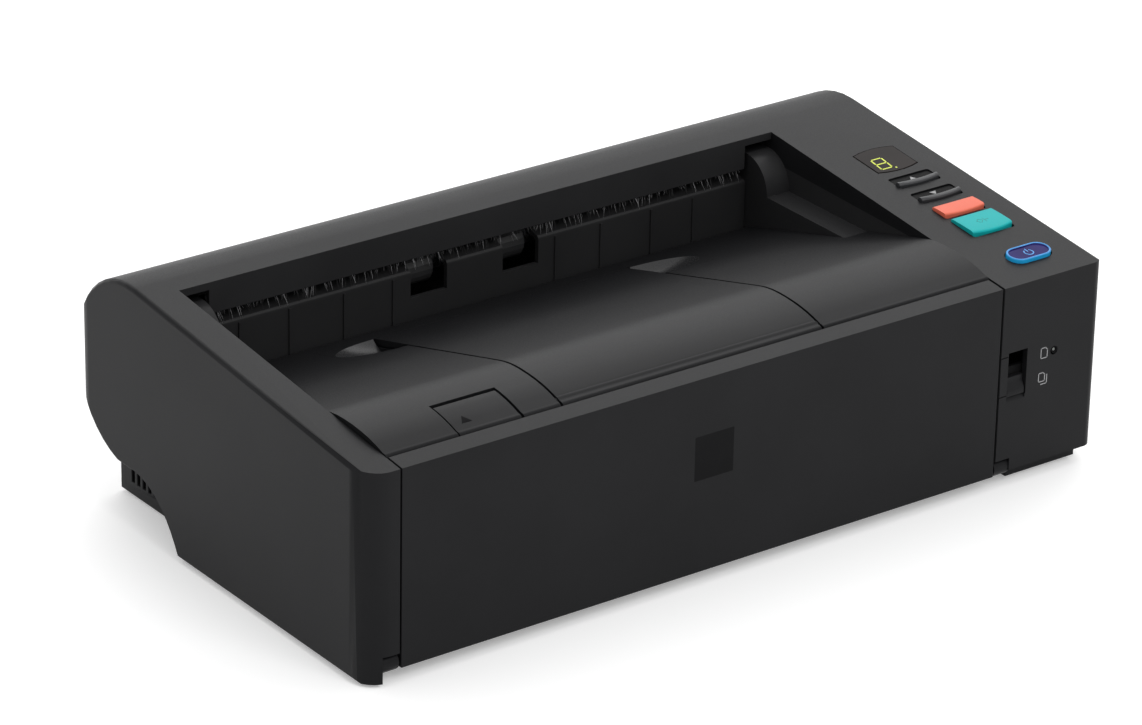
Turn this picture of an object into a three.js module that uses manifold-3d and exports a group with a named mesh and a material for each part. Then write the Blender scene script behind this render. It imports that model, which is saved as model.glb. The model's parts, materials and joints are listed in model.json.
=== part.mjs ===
// Document scanner with a fold-down feed tray, a lift-up front cover and a turn-round paper path.
// Millimetres. Drawn from the left side, the front face and the underside; the outer group centres it.
import * as THREE from "three";
import { mergeVertices } from "three/addons/utils/BufferGeometryUtils.js";
import Module from "manifold-3d";

const wasm = await Module();
wasm.setup();

// Casing
const CASE_WIDTH = 313;
const CASE_DEPTH = 179;
const FRONT_HEIGHT = 76.5;
const TOP_RISE_SHARE = 0.105;
const WALL = 2.5;
const LEFT_CAP_WIDTH = 13.3;
const CONTROL_WIDTH = 45.5;
const END_CAP_WIDTH = 13.3;
const BACK_RADIUS = 35.7;
const EDGE_ROUND = 1.4;
const LEFT_CORNER_RADIUS = 10;
const RIGHT_CORNER_RADIUS = 4;
const REAR_CORNER_RADIUS = 9;
const CAP_STEP_SHARE = 0.965;
const CAP_STEP_LENGTH = 18;
const CAP_FOOT_SETBACK = 64;
const CONTROL_BOTTOM = 5;
const GAP = 0.3;
const CUT_OVERRUN = 2;

// Recess over the front cover, with its rear rail
const RAIL_SETBACK = 47;
const LIP_DROP = 11.7;
const LIP_THICKNESS = 1.6;
const LIP_END_LENGTH = 12;
const LEDGE_WIDTH = 10.3;
const LEDGE_HEIGHT = 71;
const LEDGE_LENGTH = 57;
const LEDGE_BOTTOM = 46;
const COLUMN_LENGTH = 11.6;
const COLUMN_RADIUS = 13;
const COLUMN_DEPTH = 20;

// Base tray and feet
const BASE_FLOOR = 2.5;
const BASE_FRONT = 9.5;
const BASE_SETBACK = 6.3;
const BASE_WALL_HEIGHT = 35.2;
const BASE_SIDE_CLEARANCE = 1.7;
const PLATE_SETBACK = 3.6;
const BASE_STRIP_INSET = 4.5;
const VENT_COUNT = 7;
const VENT_PITCH = 3.6;
const VENT_WIDTH = 1.8;
const VENT_HEIGHT = 9;
const VENT_BOTTOM = 5;
const VENT_SETBACK = 30.7;
const FOOT_RADIUS = 7;
const FOOT_STAND = 1.2;
const FOOT_RECESS = 1;
const FOOT_INSET = 22;

// Paper path and turn
const PATH_SHIFT = 3.9;
const PATH_HEIGHT = 22.3;
const PATH_CLEARANCE = 2.3;
const GUIDE_THICKNESS = 2;
const TURN_SETBACK = 36;
const TURN_RADIUS = 25.5;
const TURN_PATH = 2;
const WALL_SETBACK = 1;
const WALL_TOP = 73.8;
const WALL_BOTTOM = 34;
const WALL_RIB = 0.9;
const WALL_RIB_DEPTH = 0.6;
const WALL_RIB_SHARES = [-0.423, -0.335, -0.238, -0.15, 0.15, 0.236, 0.333, 0.414];
const WINDOW_OFFSET = 19.75;
const WINDOW_WIDTH = 15.5;
const WINDOW_SILL = 63.1;
const CHUTE_FRONT = 11;
const CHUTE_FRONT_HEIGHT = 9.6;
const CHUTE_LENGTH = 27;
const GUIDE_LEG = 8;

// Shafts, rollers and bushes
const SHAFT_RADIUS = 3;
const SHAFT_CLEARANCE = 0.3;
const SHAFT_END = 4;
const BUSH_RADIUS = 5.2;
const BUSH_FLANGE_RADIUS = 6.4;
const BUSH_FLANGE = 1.2;
const EJECT_OFFSET = 2;
const EJECT_Z = 69.5;
const EJECT_ROLLER_RADIUS = 6.5;
const EJECT_ROLLER_WIDTH = 12.5;
const DRIVE_SETBACK = 20;
const DRIVE_Z = 16.4;
const DRIVE_ROLLER_RADIUS = 7;
const DRIVE_ROLLER_WIDTH = 14;
const DRIVE_ROLLER_OFFSET = 34;
const FEED_ROLLER_WIDTH = 26;
const RETARD_RADIUS = 7;
const RETARD_GAP = 0.6;
const RETARD_SHAFT_RADIUS = 2;
const RETARD_EAR = 2.6;
const RETARD_EAR_HEIGHT = 9;
const ROLLER_CHAMFER = 0.8;
const ROUND_SIDES = 20;
const PIN_SIDES = 12;
const ARC_SIDES = 60;

// Gears, belt, motor and their bracket
const GEAR_PITCH_RADIUS = 12;
const GEAR_TEETH = 24;
const PINION_TEETH = 16;
const GEAR_WIDTH = 5;
const GEAR_BACKLASH = 0.3;
const GEAR_SIDE_GAP = 1;
const ADDENDUM_SHARE = 0.8;
const DEDENDUM_SHARE = 1.05;
const PRESSURE_ANGLE = THREE.MathUtils.degToRad(20);
const PINION_ANGLE = THREE.MathUtils.degToRad(107.5);
const PULLEY_RADIUS = 7;
const BELT_WIDTH = 4;
const BELT_THICKNESS = 1.2;
const MOTOR_RADIUS = 14;
const MOTOR_END_GAP = 4.5;
const MOTOR_SHAFT_RADIUS = 1.5;
const BRACKET_THICKNESS = 2;
const BRACKET_POST_RADIUS = 2.5;
const BRACKET_MARGIN = 12;
const IDLER_PIN_RADIUS = 2.5;

// Image sensors
const SENSOR_WIDTH = 14;
const SENSOR_HEIGHT = 12;
const SENSOR_SETBACK = 24;
const GLASS_THICKNESS = 1.7;

// Front cover, the ejected sheets lie on it
const COVER_FRONT = 8.3;
const BEAD_Y = 10.5;
const BEAD_Z = 78;
const BEAD_DROP = 1.8;
const RIDGE_Y = 33;
const RIDGE_Z = 81.4;
const SLOPE_Y = 52;
const REAR_FALL_SHARE = 0.274;
const OVERHANG_BOTTOM = 66;
const OVERHANG_DEPTH = 20;
const COVER_CHIN = 34;
const COVER_BOTTOM = 26.9;
const COVER_CHIN_RUN = 12;
const COVER_AXIS_SETBACK = 4;
const COVER_AXIS_Z = 52.8;
const COVER_BARREL_RADIUS = 4;
const COVER_PIN_RADIUS = 3;
const COVER_PIN_LENGTH = 5;
const HINGE_CLEARANCE = 0.25;
const SCOOP_LENGTH = 22;
const SCOOP_DEPTH = 6;
const SCOOP_BLOCK = 4;

// Flap on the cover
const FLAP_OFFSET = 53.1;
const FLAP_WIDTH = 110.1;
const FLAP_SETBACK = 9.4;
const FLAP_THICKNESS = 2.4;
const FLAP_POCKET = 2.8;
const FLAP_AXIS_Y = 12.5;
const FLAP_AXIS_Z = 76.8;
const FLAP_BARREL_RADIUS = 1.9;
const FLAP_SWEEP = 5;
const FLAP_PIN_RADIUS = 1.4;
const FLAP_PIN_LENGTH = 2.5;

// Open lever
const LEVER_INSET = 29.1;
const LEVER_WIDTH = 25.6;
const LEVER_REAR = 25.5;
const LEVER_THICKNESS = 2.6;
const LEVER_PIN_RADIUS = 1.3;
const LEVER_PIN_LENGTH = 2.2;
const LEVER_POCKET = 8.6;

// Front panel, tray plate and document guides
const PANEL_THICKNESS = 8;
const PANEL_BOTTOM = 4.2;
const PANEL_AXIS_Y = 3.6;
const PANEL_AXIS_Z = 6.2;
const PANEL_LUG_RADIUS = 3.3;
const PANEL_LUG_LENGTH = 6.3;
const PANEL_PIN_RADIUS = 1.6;
const PANEL_PIN_LENGTH = 4;
const PANEL_STRIP = 8.5;
const TRAY_THICKNESS = 2.3;
const TRAY_BOTTOM = 12;
const GUIDE_MARGIN = 18.1;
const GUIDE_FENCE = 2.5;
const GUIDE_FENCE_HEIGHT = 15;
const GUIDE_FOOT_WIDTH = 14;
const GUIDE_FOOT = 1.5;
const GUIDE_BOTTOM = 20;
const GUIDE_TOP = 60;
const GUIDE_TRAVEL = 75;
const RACK_PINION_Z = 34;
const RACK_THICKNESS = 2.3;
const RACK_OVERLAP = 11.5;
const RACK_BACK = 3;
const RACK_PIN_RADIUS = 2;

// Controls on the right section
const BUTTON_INSET = 14.9;
const BUTTON_WIDTH = 18.2;
const BUTTON_PROUD = 1.4;
const BUTTON_TRAVEL = 1;
const BUTTON_FLANGE = 1;
const BUTTON_STEM = 3;
const BUTTON_ROUND = 0.5;
const UPPER_FRONT = 75.2;
const LOWER_FRONT = 62.6;
const SMALL_DEPTH = 7.6;
const STOP_FRONT = 50;
const STOP_DEPTH = 8;
const START_FRONT = 34.5;
const START_DEPTH = 13.5;
const START_SHIFT = 0.3;
const POWER_FRONT = 11.4;
const POWER_DEPTH = 9.2;
const BUTTON_CORNER = 0.8;
const DISPLAY_FRONT = 87;
const DISPLAY_DEPTH = 17.4;
const DISPLAY_BOW = 1.6;
const DISPLAY_THICKNESS = 1.8;
const BOARD_DEPTH = 9;
const BOARD_THICKNESS = 1.6;
const BOARD_FRONT = 8;
const BOARD_REAR = 112;
const BOARD_POST_RADIUS = 2.2;
const SLOT_INSET = 0.9;
const SLOT_WIDTH = 8.6;
const SLOT_BOTTOM = 33.5;
const SLOT_HEIGHT = 17.5;
const SLOT_KNOB_HEIGHT = 7;
const SLIDER_WIDTH = 13;
const SLIDER_MARGIN = 3.5;
const SLIDER_THICKNESS = 1.6;
const LENS_INSET = 24.4;
const LENS_Z = 47;
const LENS_RADIUS = 1.4;

// Main board and ports at the back
const MAIN_BOARD_INSET = 149.4;
const MAIN_BOARD_WIDTH = 112;
const MAIN_BOARD_DEPTH = 43.9;
const MAIN_BOARD_HEIGHT = 6;
const STANDOFF_RADIUS = 2.5;
const STANDOFF_INSET = 5;
const PORT_DEPTH = 14;
const USB_OFFSET = 50;
const USB_WIDTH = 12;
const USB_HEIGHT = 11;
const USB_MOUTH_MARGIN = 1.8;
const USB_TONGUE = 3.2;
const INLET_OFFSET = 26;
const INLET_WIDTH = 11;
const INLET_HEIGHT = 11;
const INLET_BORE_RADIUS = 3.2;
const INLET_PIN_RADIUS = 1;
const PORT_BORE_DEPTH = 8;

// Places worked out from the sizes above
const BACK_Y = CASE_DEPTH - BACK_RADIUS;
const BACK_Z =
  FRONT_HEIGHT + TOP_RISE_SHARE * BACK_Y - BACK_RADIUS * Math.hypot(1, TOP_RISE_SHARE);
const TOP_ANGLE = Math.atan(TOP_RISE_SHARE);
const topHeight = (y) => FRONT_HEIGHT + TOP_RISE_SHARE * y;
const CONTROL_LEFT = CASE_WIDTH - CONTROL_WIDTH;
const PLATE_RIGHT = CONTROL_LEFT + WALL;
const BAY_LEFT = LEFT_CAP_WIDTH;
const BAY_RIGHT = CONTROL_LEFT;
const RAIL_FRONT = CASE_DEPTH - RAIL_SETBACK;
const LEDGE_FRONT = RAIL_FRONT - LEDGE_LENGTH;
const COLUMN_FRONT = RAIL_FRONT - COLUMN_LENGTH;
const LEDGE_LEFT_EDGE = BAY_LEFT + LEDGE_WIDTH;
const LEDGE_RIGHT_EDGE = BAY_RIGHT - LEDGE_WIDTH;
const COVER_LEFT = BAY_LEFT + GAP;
const COVER_RIGHT = BAY_RIGHT - GAP;
const COVER_REAR_LEFT = LEDGE_LEFT_EDGE + GAP;
const COVER_REAR_RIGHT = LEDGE_RIGHT_EDGE - GAP;
const COVER_AXIS_Y = RAIL_FRONT - COVER_AXIS_SETBACK;
const PATH_CENTRE = (BAY_LEFT + BAY_RIGHT) / 2 - PATH_SHIFT;
const PAPER_WIDTH = BAY_RIGHT - BAY_LEFT - 2 * GUIDE_MARGIN;
const SENSOR_LENGTH = PAPER_WIDTH;
const WALL_FACE = RAIL_FRONT + WALL_SETBACK;
const TURN_Y = CASE_DEPTH - TURN_SETBACK;
const TURN_Z = PATH_HEIGHT + PATH_CLEARANCE + TURN_RADIUS;
const CHUTE_REAR = CHUTE_FRONT + CHUTE_LENGTH;
const BASE_LEFT = BAY_LEFT + GAP;
const BASE_RIGHT = CASE_WIDTH - END_CAP_WIDTH - GAP;
const BASE_REAR = CASE_DEPTH - BASE_SETBACK;
const PLATE_REAR = RAIL_FRONT - PLATE_SETBACK;
const SHAFT_LEFT_END = BAY_LEFT - SHAFT_END;
const EJECT_Y = TURN_Y + EJECT_OFFSET;
const DRIVE_Y = COVER_AXIS_Y - DRIVE_SETBACK;
const UPPER_SENSOR_Y = DRIVE_Y - SENSOR_SETBACK;
const LOWER_SENSOR_Y = UPPER_SENSOR_Y - SENSOR_WIDTH;
const GEAR_MODULE = (2 * GEAR_PITCH_RADIUS) / GEAR_TEETH;
const FEED_Y = DRIVE_Y - 4 * GEAR_PITCH_RADIUS;
const IDLER_Y = DRIVE_Y - 2 * GEAR_PITCH_RADIUS;
const PINION_DISTANCE = GEAR_PITCH_RADIUS * (1 + PINION_TEETH / GEAR_TEETH);
const PINION_Y = DRIVE_Y + PINION_DISTANCE * Math.cos(PINION_ANGLE);
const PINION_Z = DRIVE_Z + PINION_DISTANCE * Math.sin(PINION_ANGLE);
const GEAR_LEFT = PLATE_RIGHT + GEAR_SIDE_GAP;
const GEAR_RIGHT = GEAR_LEFT + GEAR_WIDTH;
const BELT_LEFT = GEAR_RIGHT + GAP + GAP;
const BELT_RIGHT = BELT_LEFT + BELT_WIDTH;
const BRACKET_LEFT = BELT_RIGHT + GAP + GAP;
const MOTOR_LEFT = BRACKET_LEFT + BRACKET_THICKNESS + GAP;
const MOTOR_LENGTH = CASE_WIDTH - WALL - MOTOR_END_GAP - WALL - MOTOR_LEFT;
const BASE_SIDE_FRONT = PINION_Y + MOTOR_RADIUS + BASE_SIDE_CLEARANCE;
const VENT_START = BASE_REAR - VENT_SETBACK;
const RETARD_Z = DRIVE_Z + DRIVE_ROLLER_RADIUS + RETARD_GAP + RETARD_RADIUS;
const RACK_RADIUS = (GEAR_MODULE * PINION_TEETH) / 2;
const FLAP_LEFT = PATH_CENTRE - FLAP_OFFSET;
const FLAP_RIGHT = FLAP_LEFT + FLAP_WIDTH;
const FLAP_REAR = COVER_AXIS_Y - FLAP_SETBACK;
const LEVER_LEFT = BAY_LEFT + LEVER_INSET;
const BUTTON_LEFT = CONTROL_LEFT + BUTTON_INSET;
const SLOT_LEFT = PLATE_RIGHT + SLOT_INSET;
const LENS_X = CONTROL_LEFT + LENS_INSET;
const MAIN_BOARD_LEFT = BASE_RIGHT - MAIN_BOARD_INSET;
const MAIN_BOARD_FRONT = BASE_REAR - WALL - GAP - MAIN_BOARD_DEPTH;
const USB_LEFT = MAIN_BOARD_LEFT + USB_OFFSET;
const INLET_LEFT = USB_LEFT + INLET_OFFSET;

// Solids from outlines
function solidFrom(geometry) {
  const bare = geometry.index ? geometry.toNonIndexed() : geometry;
  bare.deleteAttribute("normal");
  bare.deleteAttribute("uv");
  const merged = mergeVertices(bare, 1e-4);
  return new wasm.Manifold(
    new wasm.Mesh({
      numProp: 3,
      vertProperties: merged.attributes.position.array,
      triVerts: new Uint32Array(merged.index.array),
    }),
  );
}

function geometryFrom(solid) {
  const { numProp, vertProperties, triVerts } = solid.getMesh();
  const count = vertProperties.length / numProp;
  const positions = new Float32Array(3 * count);
  for (let i = 0; i < count; i++) {
    positions.set(vertProperties.subarray(i * numProp, i * numProp + 3), 3 * i);
  }
  const indexed = new THREE.BufferGeometry();
  indexed.setAttribute("position", new THREE.BufferAttribute(positions, 3));
  indexed.setIndex(new THREE.BufferAttribute(triVerts, 1));
  const faceted = indexed.toNonIndexed();
  faceted.computeVertexNormals();
  return faceted;
}

function outline(points) {
  return new THREE.Shape(points.map(([a, b]) => new THREE.Vector2(a, b)));
}

function rectangle(a0, a1, b0, b1) {
  return outline([
    [a0, b0],
    [a1, b0],
    [a1, b1],
    [a0, b1],
  ]);
}

function roundedRectangle(a0, a1, b0, b1, radii) {
  const [r0, r1, r2, r3] = radii;
  const shape = new THREE.Shape();
  shape.moveTo(a0 + r0, b0);
  shape.lineTo(a1 - r1, b0);
  if (r1 > 0) shape.absarc(a1 - r1, b0 + r1, r1, -Math.PI / 2, 0);
  shape.lineTo(a1, b1 - r2);
  if (r2 > 0) shape.absarc(a1 - r2, b1 - r2, r2, 0, Math.PI / 2);
  shape.lineTo(a0 + r3, b1);
  if (r3 > 0) shape.absarc(a0 + r3, b1 - r3, r3, Math.PI / 2, Math.PI);
  shape.lineTo(a0, b0 + r0);
  if (r0 > 0) shape.absarc(a0 + r0, b0 + r0, r0, Math.PI, 1.5 * Math.PI);
  return shape;
}

function circlePoints(a, b, radius, sides, from = 0, to = 2 * Math.PI) {
  const whole = Math.abs(to - from) > 2 * Math.PI - 1e-6;
  const steps = whole ? sides - 1 : sides;
  return Array.from({ length: steps + 1 }, (_, i) => {
    const angle = from + ((to - from) * i) / sides;
    return [a + radius * Math.cos(angle), b + radius * Math.sin(angle)];
  });
}

function extruded(shape, length, curveSegments) {
  return new THREE.ExtrudeGeometry(shape, { depth: length, bevelEnabled: false, curveSegments });
}

// An outline in (y, z) drawn out along x
function prismX(shape, x0, x1, curveSegments = 8) {
  const axes = new THREE.Matrix4().set(0, 0, 1, x0, 1, 0, 0, 0, 0, 1, 0, 0, 0, 0, 0, 1);
  return solidFrom(extruded(shape, x1 - x0, curveSegments).applyMatrix4(axes));
}

// An outline in (x, z) drawn out along y
function prismY(shape, y0, y1, curveSegments = 8) {
  const axes = new THREE.Matrix4().set(1, 0, 0, 0, 0, 0, -1, y1, 0, 1, 0, 0, 0, 0, 0, 1);
  return solidFrom(extruded(shape, y1 - y0, curveSegments).applyMatrix4(axes));
}

// An outline in (x, y) drawn out along z
function prismZ(shape, z0, z1, curveSegments = 8) {
  const axes = new THREE.Matrix4().makeTranslation(0, 0, z0);
  return solidFrom(extruded(shape, z1 - z0, curveSegments).applyMatrix4(axes));
}

function block([x0, x1], [y0, y1], [z0, z1]) {
  return prismZ(rectangle(x0, x1, y0, y1), z0, z1);
}

function rodX(y, z, radius, x0, x1, sides = ROUND_SIDES) {
  return prismX(outline(circlePoints(y, z, radius, sides)), x0, x1);
}

function rodY(x, z, radius, y0, y1, sides = ROUND_SIDES) {
  return prismY(outline(circlePoints(x, z, radius, sides)), y0, y1);
}

function rodZ(x, y, radius, z0, z1, sides = ROUND_SIDES) {
  return prismZ(outline(circlePoints(x, y, radius, sides)), z0, z1);
}

function joined(solids) {
  return solids.reduce((whole, solid) => whole.add(solid));
}

function cut(solid, cutters) {
  return cutters.reduce((rest, cutter) => rest.subtract(cutter), solid);
}

// Materials and the scene graph
const FINISHES = {
  casing: { color: 0x26272a, roughness: 0.55, metalness: 0 },
  inner: { color: 0x1c1d1f, roughness: 0.6, metalness: 0 },
  rubber: { color: 0x2b2b2d, roughness: 0.85, metalness: 0 },
  steel: { color: 0xb9bcc0, roughness: 0.3, metalness: 1 },
  brass: { color: 0xc2a04f, roughness: 0.35, metalness: 1 },
  gear: { color: 0xe8e6df, roughness: 0.5, metalness: 0 },
  board: { color: 0x1d5b34, roughness: 0.5, metalness: 0 },
  glass: { color: 0x9fb4b8, roughness: 0.05, metalness: 0 },
  window: { color: 0x2a2422, roughness: 0.08, metalness: 0 },
  bristle: { color: 0x8f8f92, roughness: 0.6, metalness: 0 },
  darkButton: { color: 0x3a3b3e, roughness: 0.5, metalness: 0 },
  coral: { color: 0xf07864, roughness: 0.45, metalness: 0 },
  teal: { color: 0x26beb4, roughness: 0.45, metalness: 0 },
  blue: { color: 0x2d6ed7, roughness: 0.2, metalness: 0 },
  port: { color: 0xa8acb0, roughness: 0.35, metalness: 1 },
  motor: { color: 0x9a9da2, roughness: 0.35, metalness: 1 },
};

const scanner = new THREE.Group();
const drawing = new THREE.Group();
drawing.position.set(-CASE_WIDTH / 2, -CASE_DEPTH / 2, FOOT_STAND);
scanner.add(drawing);

function place(name, solid, finish, parent = drawing) {
  const mesh = new THREE.Mesh(
    geometryFrom(solid),
    new THREE.MeshStandardMaterial({ ...FINISHES[finish] }),
  );
  mesh.name = name;
  parent.add(mesh);
  return mesh;
}

// Frame of the sloping control surface: x to the right, y up the slope, z out of it
const controlFrame = new THREE.Matrix4()
  .makeTranslation(0, 0, FRONT_HEIGHT)
  .multiply(new THREE.Matrix4().makeRotationX(TOP_ANGLE));
const controls = new THREE.Group();
controls.applyMatrix4(controlFrame);
drawing.add(controls);
const onSlope = (y) => y / Math.cos(TOP_ANGLE);

// A solid drawn in the control surface's frame, set into the casing's frame
function sloped(solid) {
  return solidFrom(geometryFrom(solid).applyMatrix4(controlFrame));
}

// Casing outlines in (y, z)
function sideOutline(inset, bottom) {
  const radius = BACK_RADIUS - inset;
  const top = FRONT_HEIGHT - inset * Math.hypot(1, TOP_RISE_SHARE);
  const stepAngle = -Math.asin(CAP_STEP_SHARE);
  const stepEnd = BACK_Y + radius * Math.cos(stepAngle);
  const stepZ = BACK_Z + radius * Math.sin(stepAngle);
  const shape = new THREE.Shape();
  shape.moveTo(inset, bottom);
  shape.lineTo(CASE_DEPTH - CAP_FOOT_SETBACK - inset, bottom);
  shape.quadraticCurveTo(
    stepEnd - CAP_STEP_LENGTH - CAP_STEP_LENGTH / 2,
    stepZ,
    stepEnd - CAP_STEP_LENGTH / 2,
    stepZ,
  );
  shape.lineTo(stepEnd, stepZ);
  shape.absarc(BACK_Y, BACK_Z, radius, stepAngle, Math.PI / 2 + TOP_ANGLE);
  shape.lineTo(inset, top + TOP_RISE_SHARE * inset);
  return shape;
}

function planOutline(inset) {
  const radii = [
    LEFT_CORNER_RADIUS - inset,
    RIGHT_CORNER_RADIUS - inset,
    REAR_CORNER_RADIUS - inset,
    REAR_CORNER_RADIUS - inset,
  ];
  return roundedRectangle(inset, CASE_WIDTH - inset, inset, CASE_DEPTH - inset, radii);
}

function bevelledHull() {
  const geometry = new THREE.ExtrudeGeometry(sideOutline(0, 0), {
    depth: CASE_WIDTH - 2 * EDGE_ROUND,
    bevelEnabled: true,
    bevelThickness: EDGE_ROUND,
    bevelSize: EDGE_ROUND,
    bevelOffset: -EDGE_ROUND,
    bevelSegments: 1,
    curveSegments: 10,
  });
  const axes = new THREE.Matrix4().set(0, 0, 1, EDGE_ROUND, 1, 0, 0, 0, 0, 1, 0, 0, 0, 0, 0, 1);
  const hull = solidFrom(geometry.applyMatrix4(axes));
  return hull.intersect(prismZ(planOutline(0), -CUT_OVERRUN, CASE_DEPTH, 4));
}

// Arc of the round back seen from the side, cut off at a height
function arcAngle(height, radius) {
  return Math.asin((height - BACK_Z) / radius);
}

// Hollow behind the recess: the room of the paper's turn
function turnRoom(x0, x1) {
  const radius = BACK_RADIUS - WALL;
  const rear = RAIL_FRONT + LIP_THICKNESS;
  const start = arcAngle(BASE_WALL_HEIGHT + GAP, radius);
  const shape = new THREE.Shape();
  shape.moveTo(rear, -CUT_OVERRUN);
  shape.lineTo(CASE_DEPTH, -CUT_OVERRUN);
  shape.lineTo(CASE_DEPTH, BASE_WALL_HEIGHT + GAP);
  shape.lineTo(BACK_Y + radius * Math.cos(start), BASE_WALL_HEIGHT + GAP);
  shape.absarc(BACK_Y, BACK_Z, radius, start, Math.PI / 2 + TOP_ANGLE);
  shape.lineTo(rear, topHeight(rear) - WALL * Math.hypot(1, TOP_RISE_SHARE));
  return prismX(shape, x0, x1, 10);
}

// Side guide at each end of the recess: a flat ledge that runs back into a round-topped column
function sideGuide(x0, x1) {
  const top = LEDGE_HEIGHT + COLUMN_RADIUS;
  const shape = new THREE.Shape();
  shape.moveTo(LEDGE_FRONT, LEDGE_BOTTOM);
  shape.lineTo(COLUMN_FRONT + COLUMN_DEPTH, LEDGE_BOTTOM);
  shape.lineTo(COLUMN_FRONT + COLUMN_DEPTH, top);
  shape.lineTo(COLUMN_FRONT + COLUMN_RADIUS, top);
  shape.absarc(COLUMN_FRONT + COLUMN_RADIUS, LEDGE_HEIGHT, COLUMN_RADIUS, Math.PI / 2, Math.PI);
  shape.lineTo(LEDGE_FRONT, LEDGE_HEIGHT);
  return prismX(shape, x0, x1);
}

// Cutters and posts for what sits in the control surface
function buttonOutline(front, depth, shift = 0) {
  const left = BUTTON_LEFT + shift;
  const b0 = onSlope(front);
  const b1 = b0 + depth;
  const corner = BUTTON_CORNER;
  return [left, left + BUTTON_WIDTH, b0, b1, [corner, corner, corner, corner]];
}

function grown([a0, a1, b0, b1, radii], by) {
  const wider = radii.map((r) => r + by);
  return roundedRectangle(a0 - by, a1 + by, b0 - by, b1 + by, wider);
}

const powerRadii = [POWER_DEPTH / 2, POWER_DEPTH / 2, POWER_DEPTH / 2, POWER_DEPTH / 2];
const BUTTONS = [
  { name: "upper_button", finish: "darkButton", place: buttonOutline(UPPER_FRONT, SMALL_DEPTH) },
  { name: "lower_button", finish: "darkButton", place: buttonOutline(LOWER_FRONT, SMALL_DEPTH) },
  { name: "stop_button", finish: "coral", place: buttonOutline(STOP_FRONT, STOP_DEPTH) },
  {
    name: "start_button",
    finish: "teal",
    place: buttonOutline(START_FRONT, START_DEPTH, START_SHIFT),
  },
  {
    name: "power_button",
    finish: "blue",
    place: [...buttonOutline(POWER_FRONT, POWER_DEPTH).slice(0, 4), powerRadii.map((r) => r - GAP)],
  },
];

function displayOutline(by) {
  const left = BUTTON_LEFT - by;
  const right = BUTTON_LEFT + BUTTON_WIDTH + by;
  const front = onSlope(DISPLAY_FRONT) - by;
  const rear = onSlope(DISPLAY_FRONT) + DISPLAY_DEPTH + by;
  const middle = (left + right) / 2;
  const shape = new THREE.Shape();
  shape.moveTo(left, front + DISPLAY_BOW);
  shape.quadraticCurveTo(middle, front - DISPLAY_BOW, right, front + DISPLAY_BOW);
  shape.lineTo(right, rear - DISPLAY_BOW);
  shape.quadraticCurveTo(middle, rear + DISPLAY_BOW, left, rear - DISPLAY_BOW);
  return shape;
}

function controlCuts() {
  const depth = WALL + CUT_OVERRUN;
  const holes = BUTTONS.map(({ place: at }) => prismZ(grown(at, GAP), -depth, CUT_OVERRUN, 2));
  holes.push(prismZ(displayOutline(GAP), -depth, CUT_OVERRUN, 5));
  return holes.map(sloped);
}

function boardPosts() {
  const inset = BOARD_POST_RADIUS + WALL;
  const lefts = [PLATE_RIGHT + inset, CASE_WIDTH - WALL - inset];
  const fronts = [BOARD_FRONT + inset, BOARD_REAR - inset];
  return lefts.flatMap((x) =>
    fronts.map((y) =>
      sloped(rodZ(x, y, BOARD_POST_RADIUS, GAP - BOARD_DEPTH, GAP - WALL, PIN_SIDES)),
    ),
  );
}

// Shaft seats through both side plates of the frame
function plateHoles(y, z, radius) {
  return [
    rodX(y, z, radius, BAY_LEFT - WALL - CUT_OVERRUN, BAY_LEFT + CUT_OVERRUN),
    rodX(y, z, radius, BAY_RIGHT - CUT_OVERRUN, PLATE_RIGHT + CUT_OVERRUN),
  ];
}

// Room inside an end section, open downwards as far back as the foot of its curved rear edge
function sideHollow(x0, x1) {
  const wellRear = CASE_DEPTH - CAP_FOOT_SETBACK - WALL;
  const plan = prismZ(planOutline(WALL), -CUT_OVERRUN, CASE_DEPTH, 3);
  const well = prismX(rectangle(WALL, wellRear, -CUT_OVERRUN, CONTROL_BOTTOM), x0, x1);
  return prismX(sideOutline(WALL, 0), x0, x1, 8)
    .add(well)
    .intersect(plan);
}

// Curved outer side of a lug that holds one of the front panel's pins
function panelLugs() {
  const boss = (x0, x1) =>
    block(
      [x0, x1],
      [PANEL_AXIS_Y, PANEL_AXIS_Y + 2 * PANEL_LUG_RADIUS],
      [PANEL_AXIS_Z - PANEL_LUG_RADIUS, PANEL_AXIS_Z + PANEL_LUG_RADIUS + WALL],
    );
  const lug = (x0, x1) => rodX(PANEL_AXIS_Y, PANEL_AXIS_Z, PANEL_LUG_RADIUS, x0, x1, PIN_SIDES);
  return [
    lug(BAY_LEFT - PANEL_LUG_LENGTH - GAP, BAY_LEFT),
    lug(BAY_RIGHT, BAY_RIGHT + PANEL_LUG_LENGTH + GAP),
    boss(BAY_LEFT - WALL, BAY_LEFT),
    boss(BAY_RIGHT, PLATE_RIGHT),
  ];
}

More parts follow.
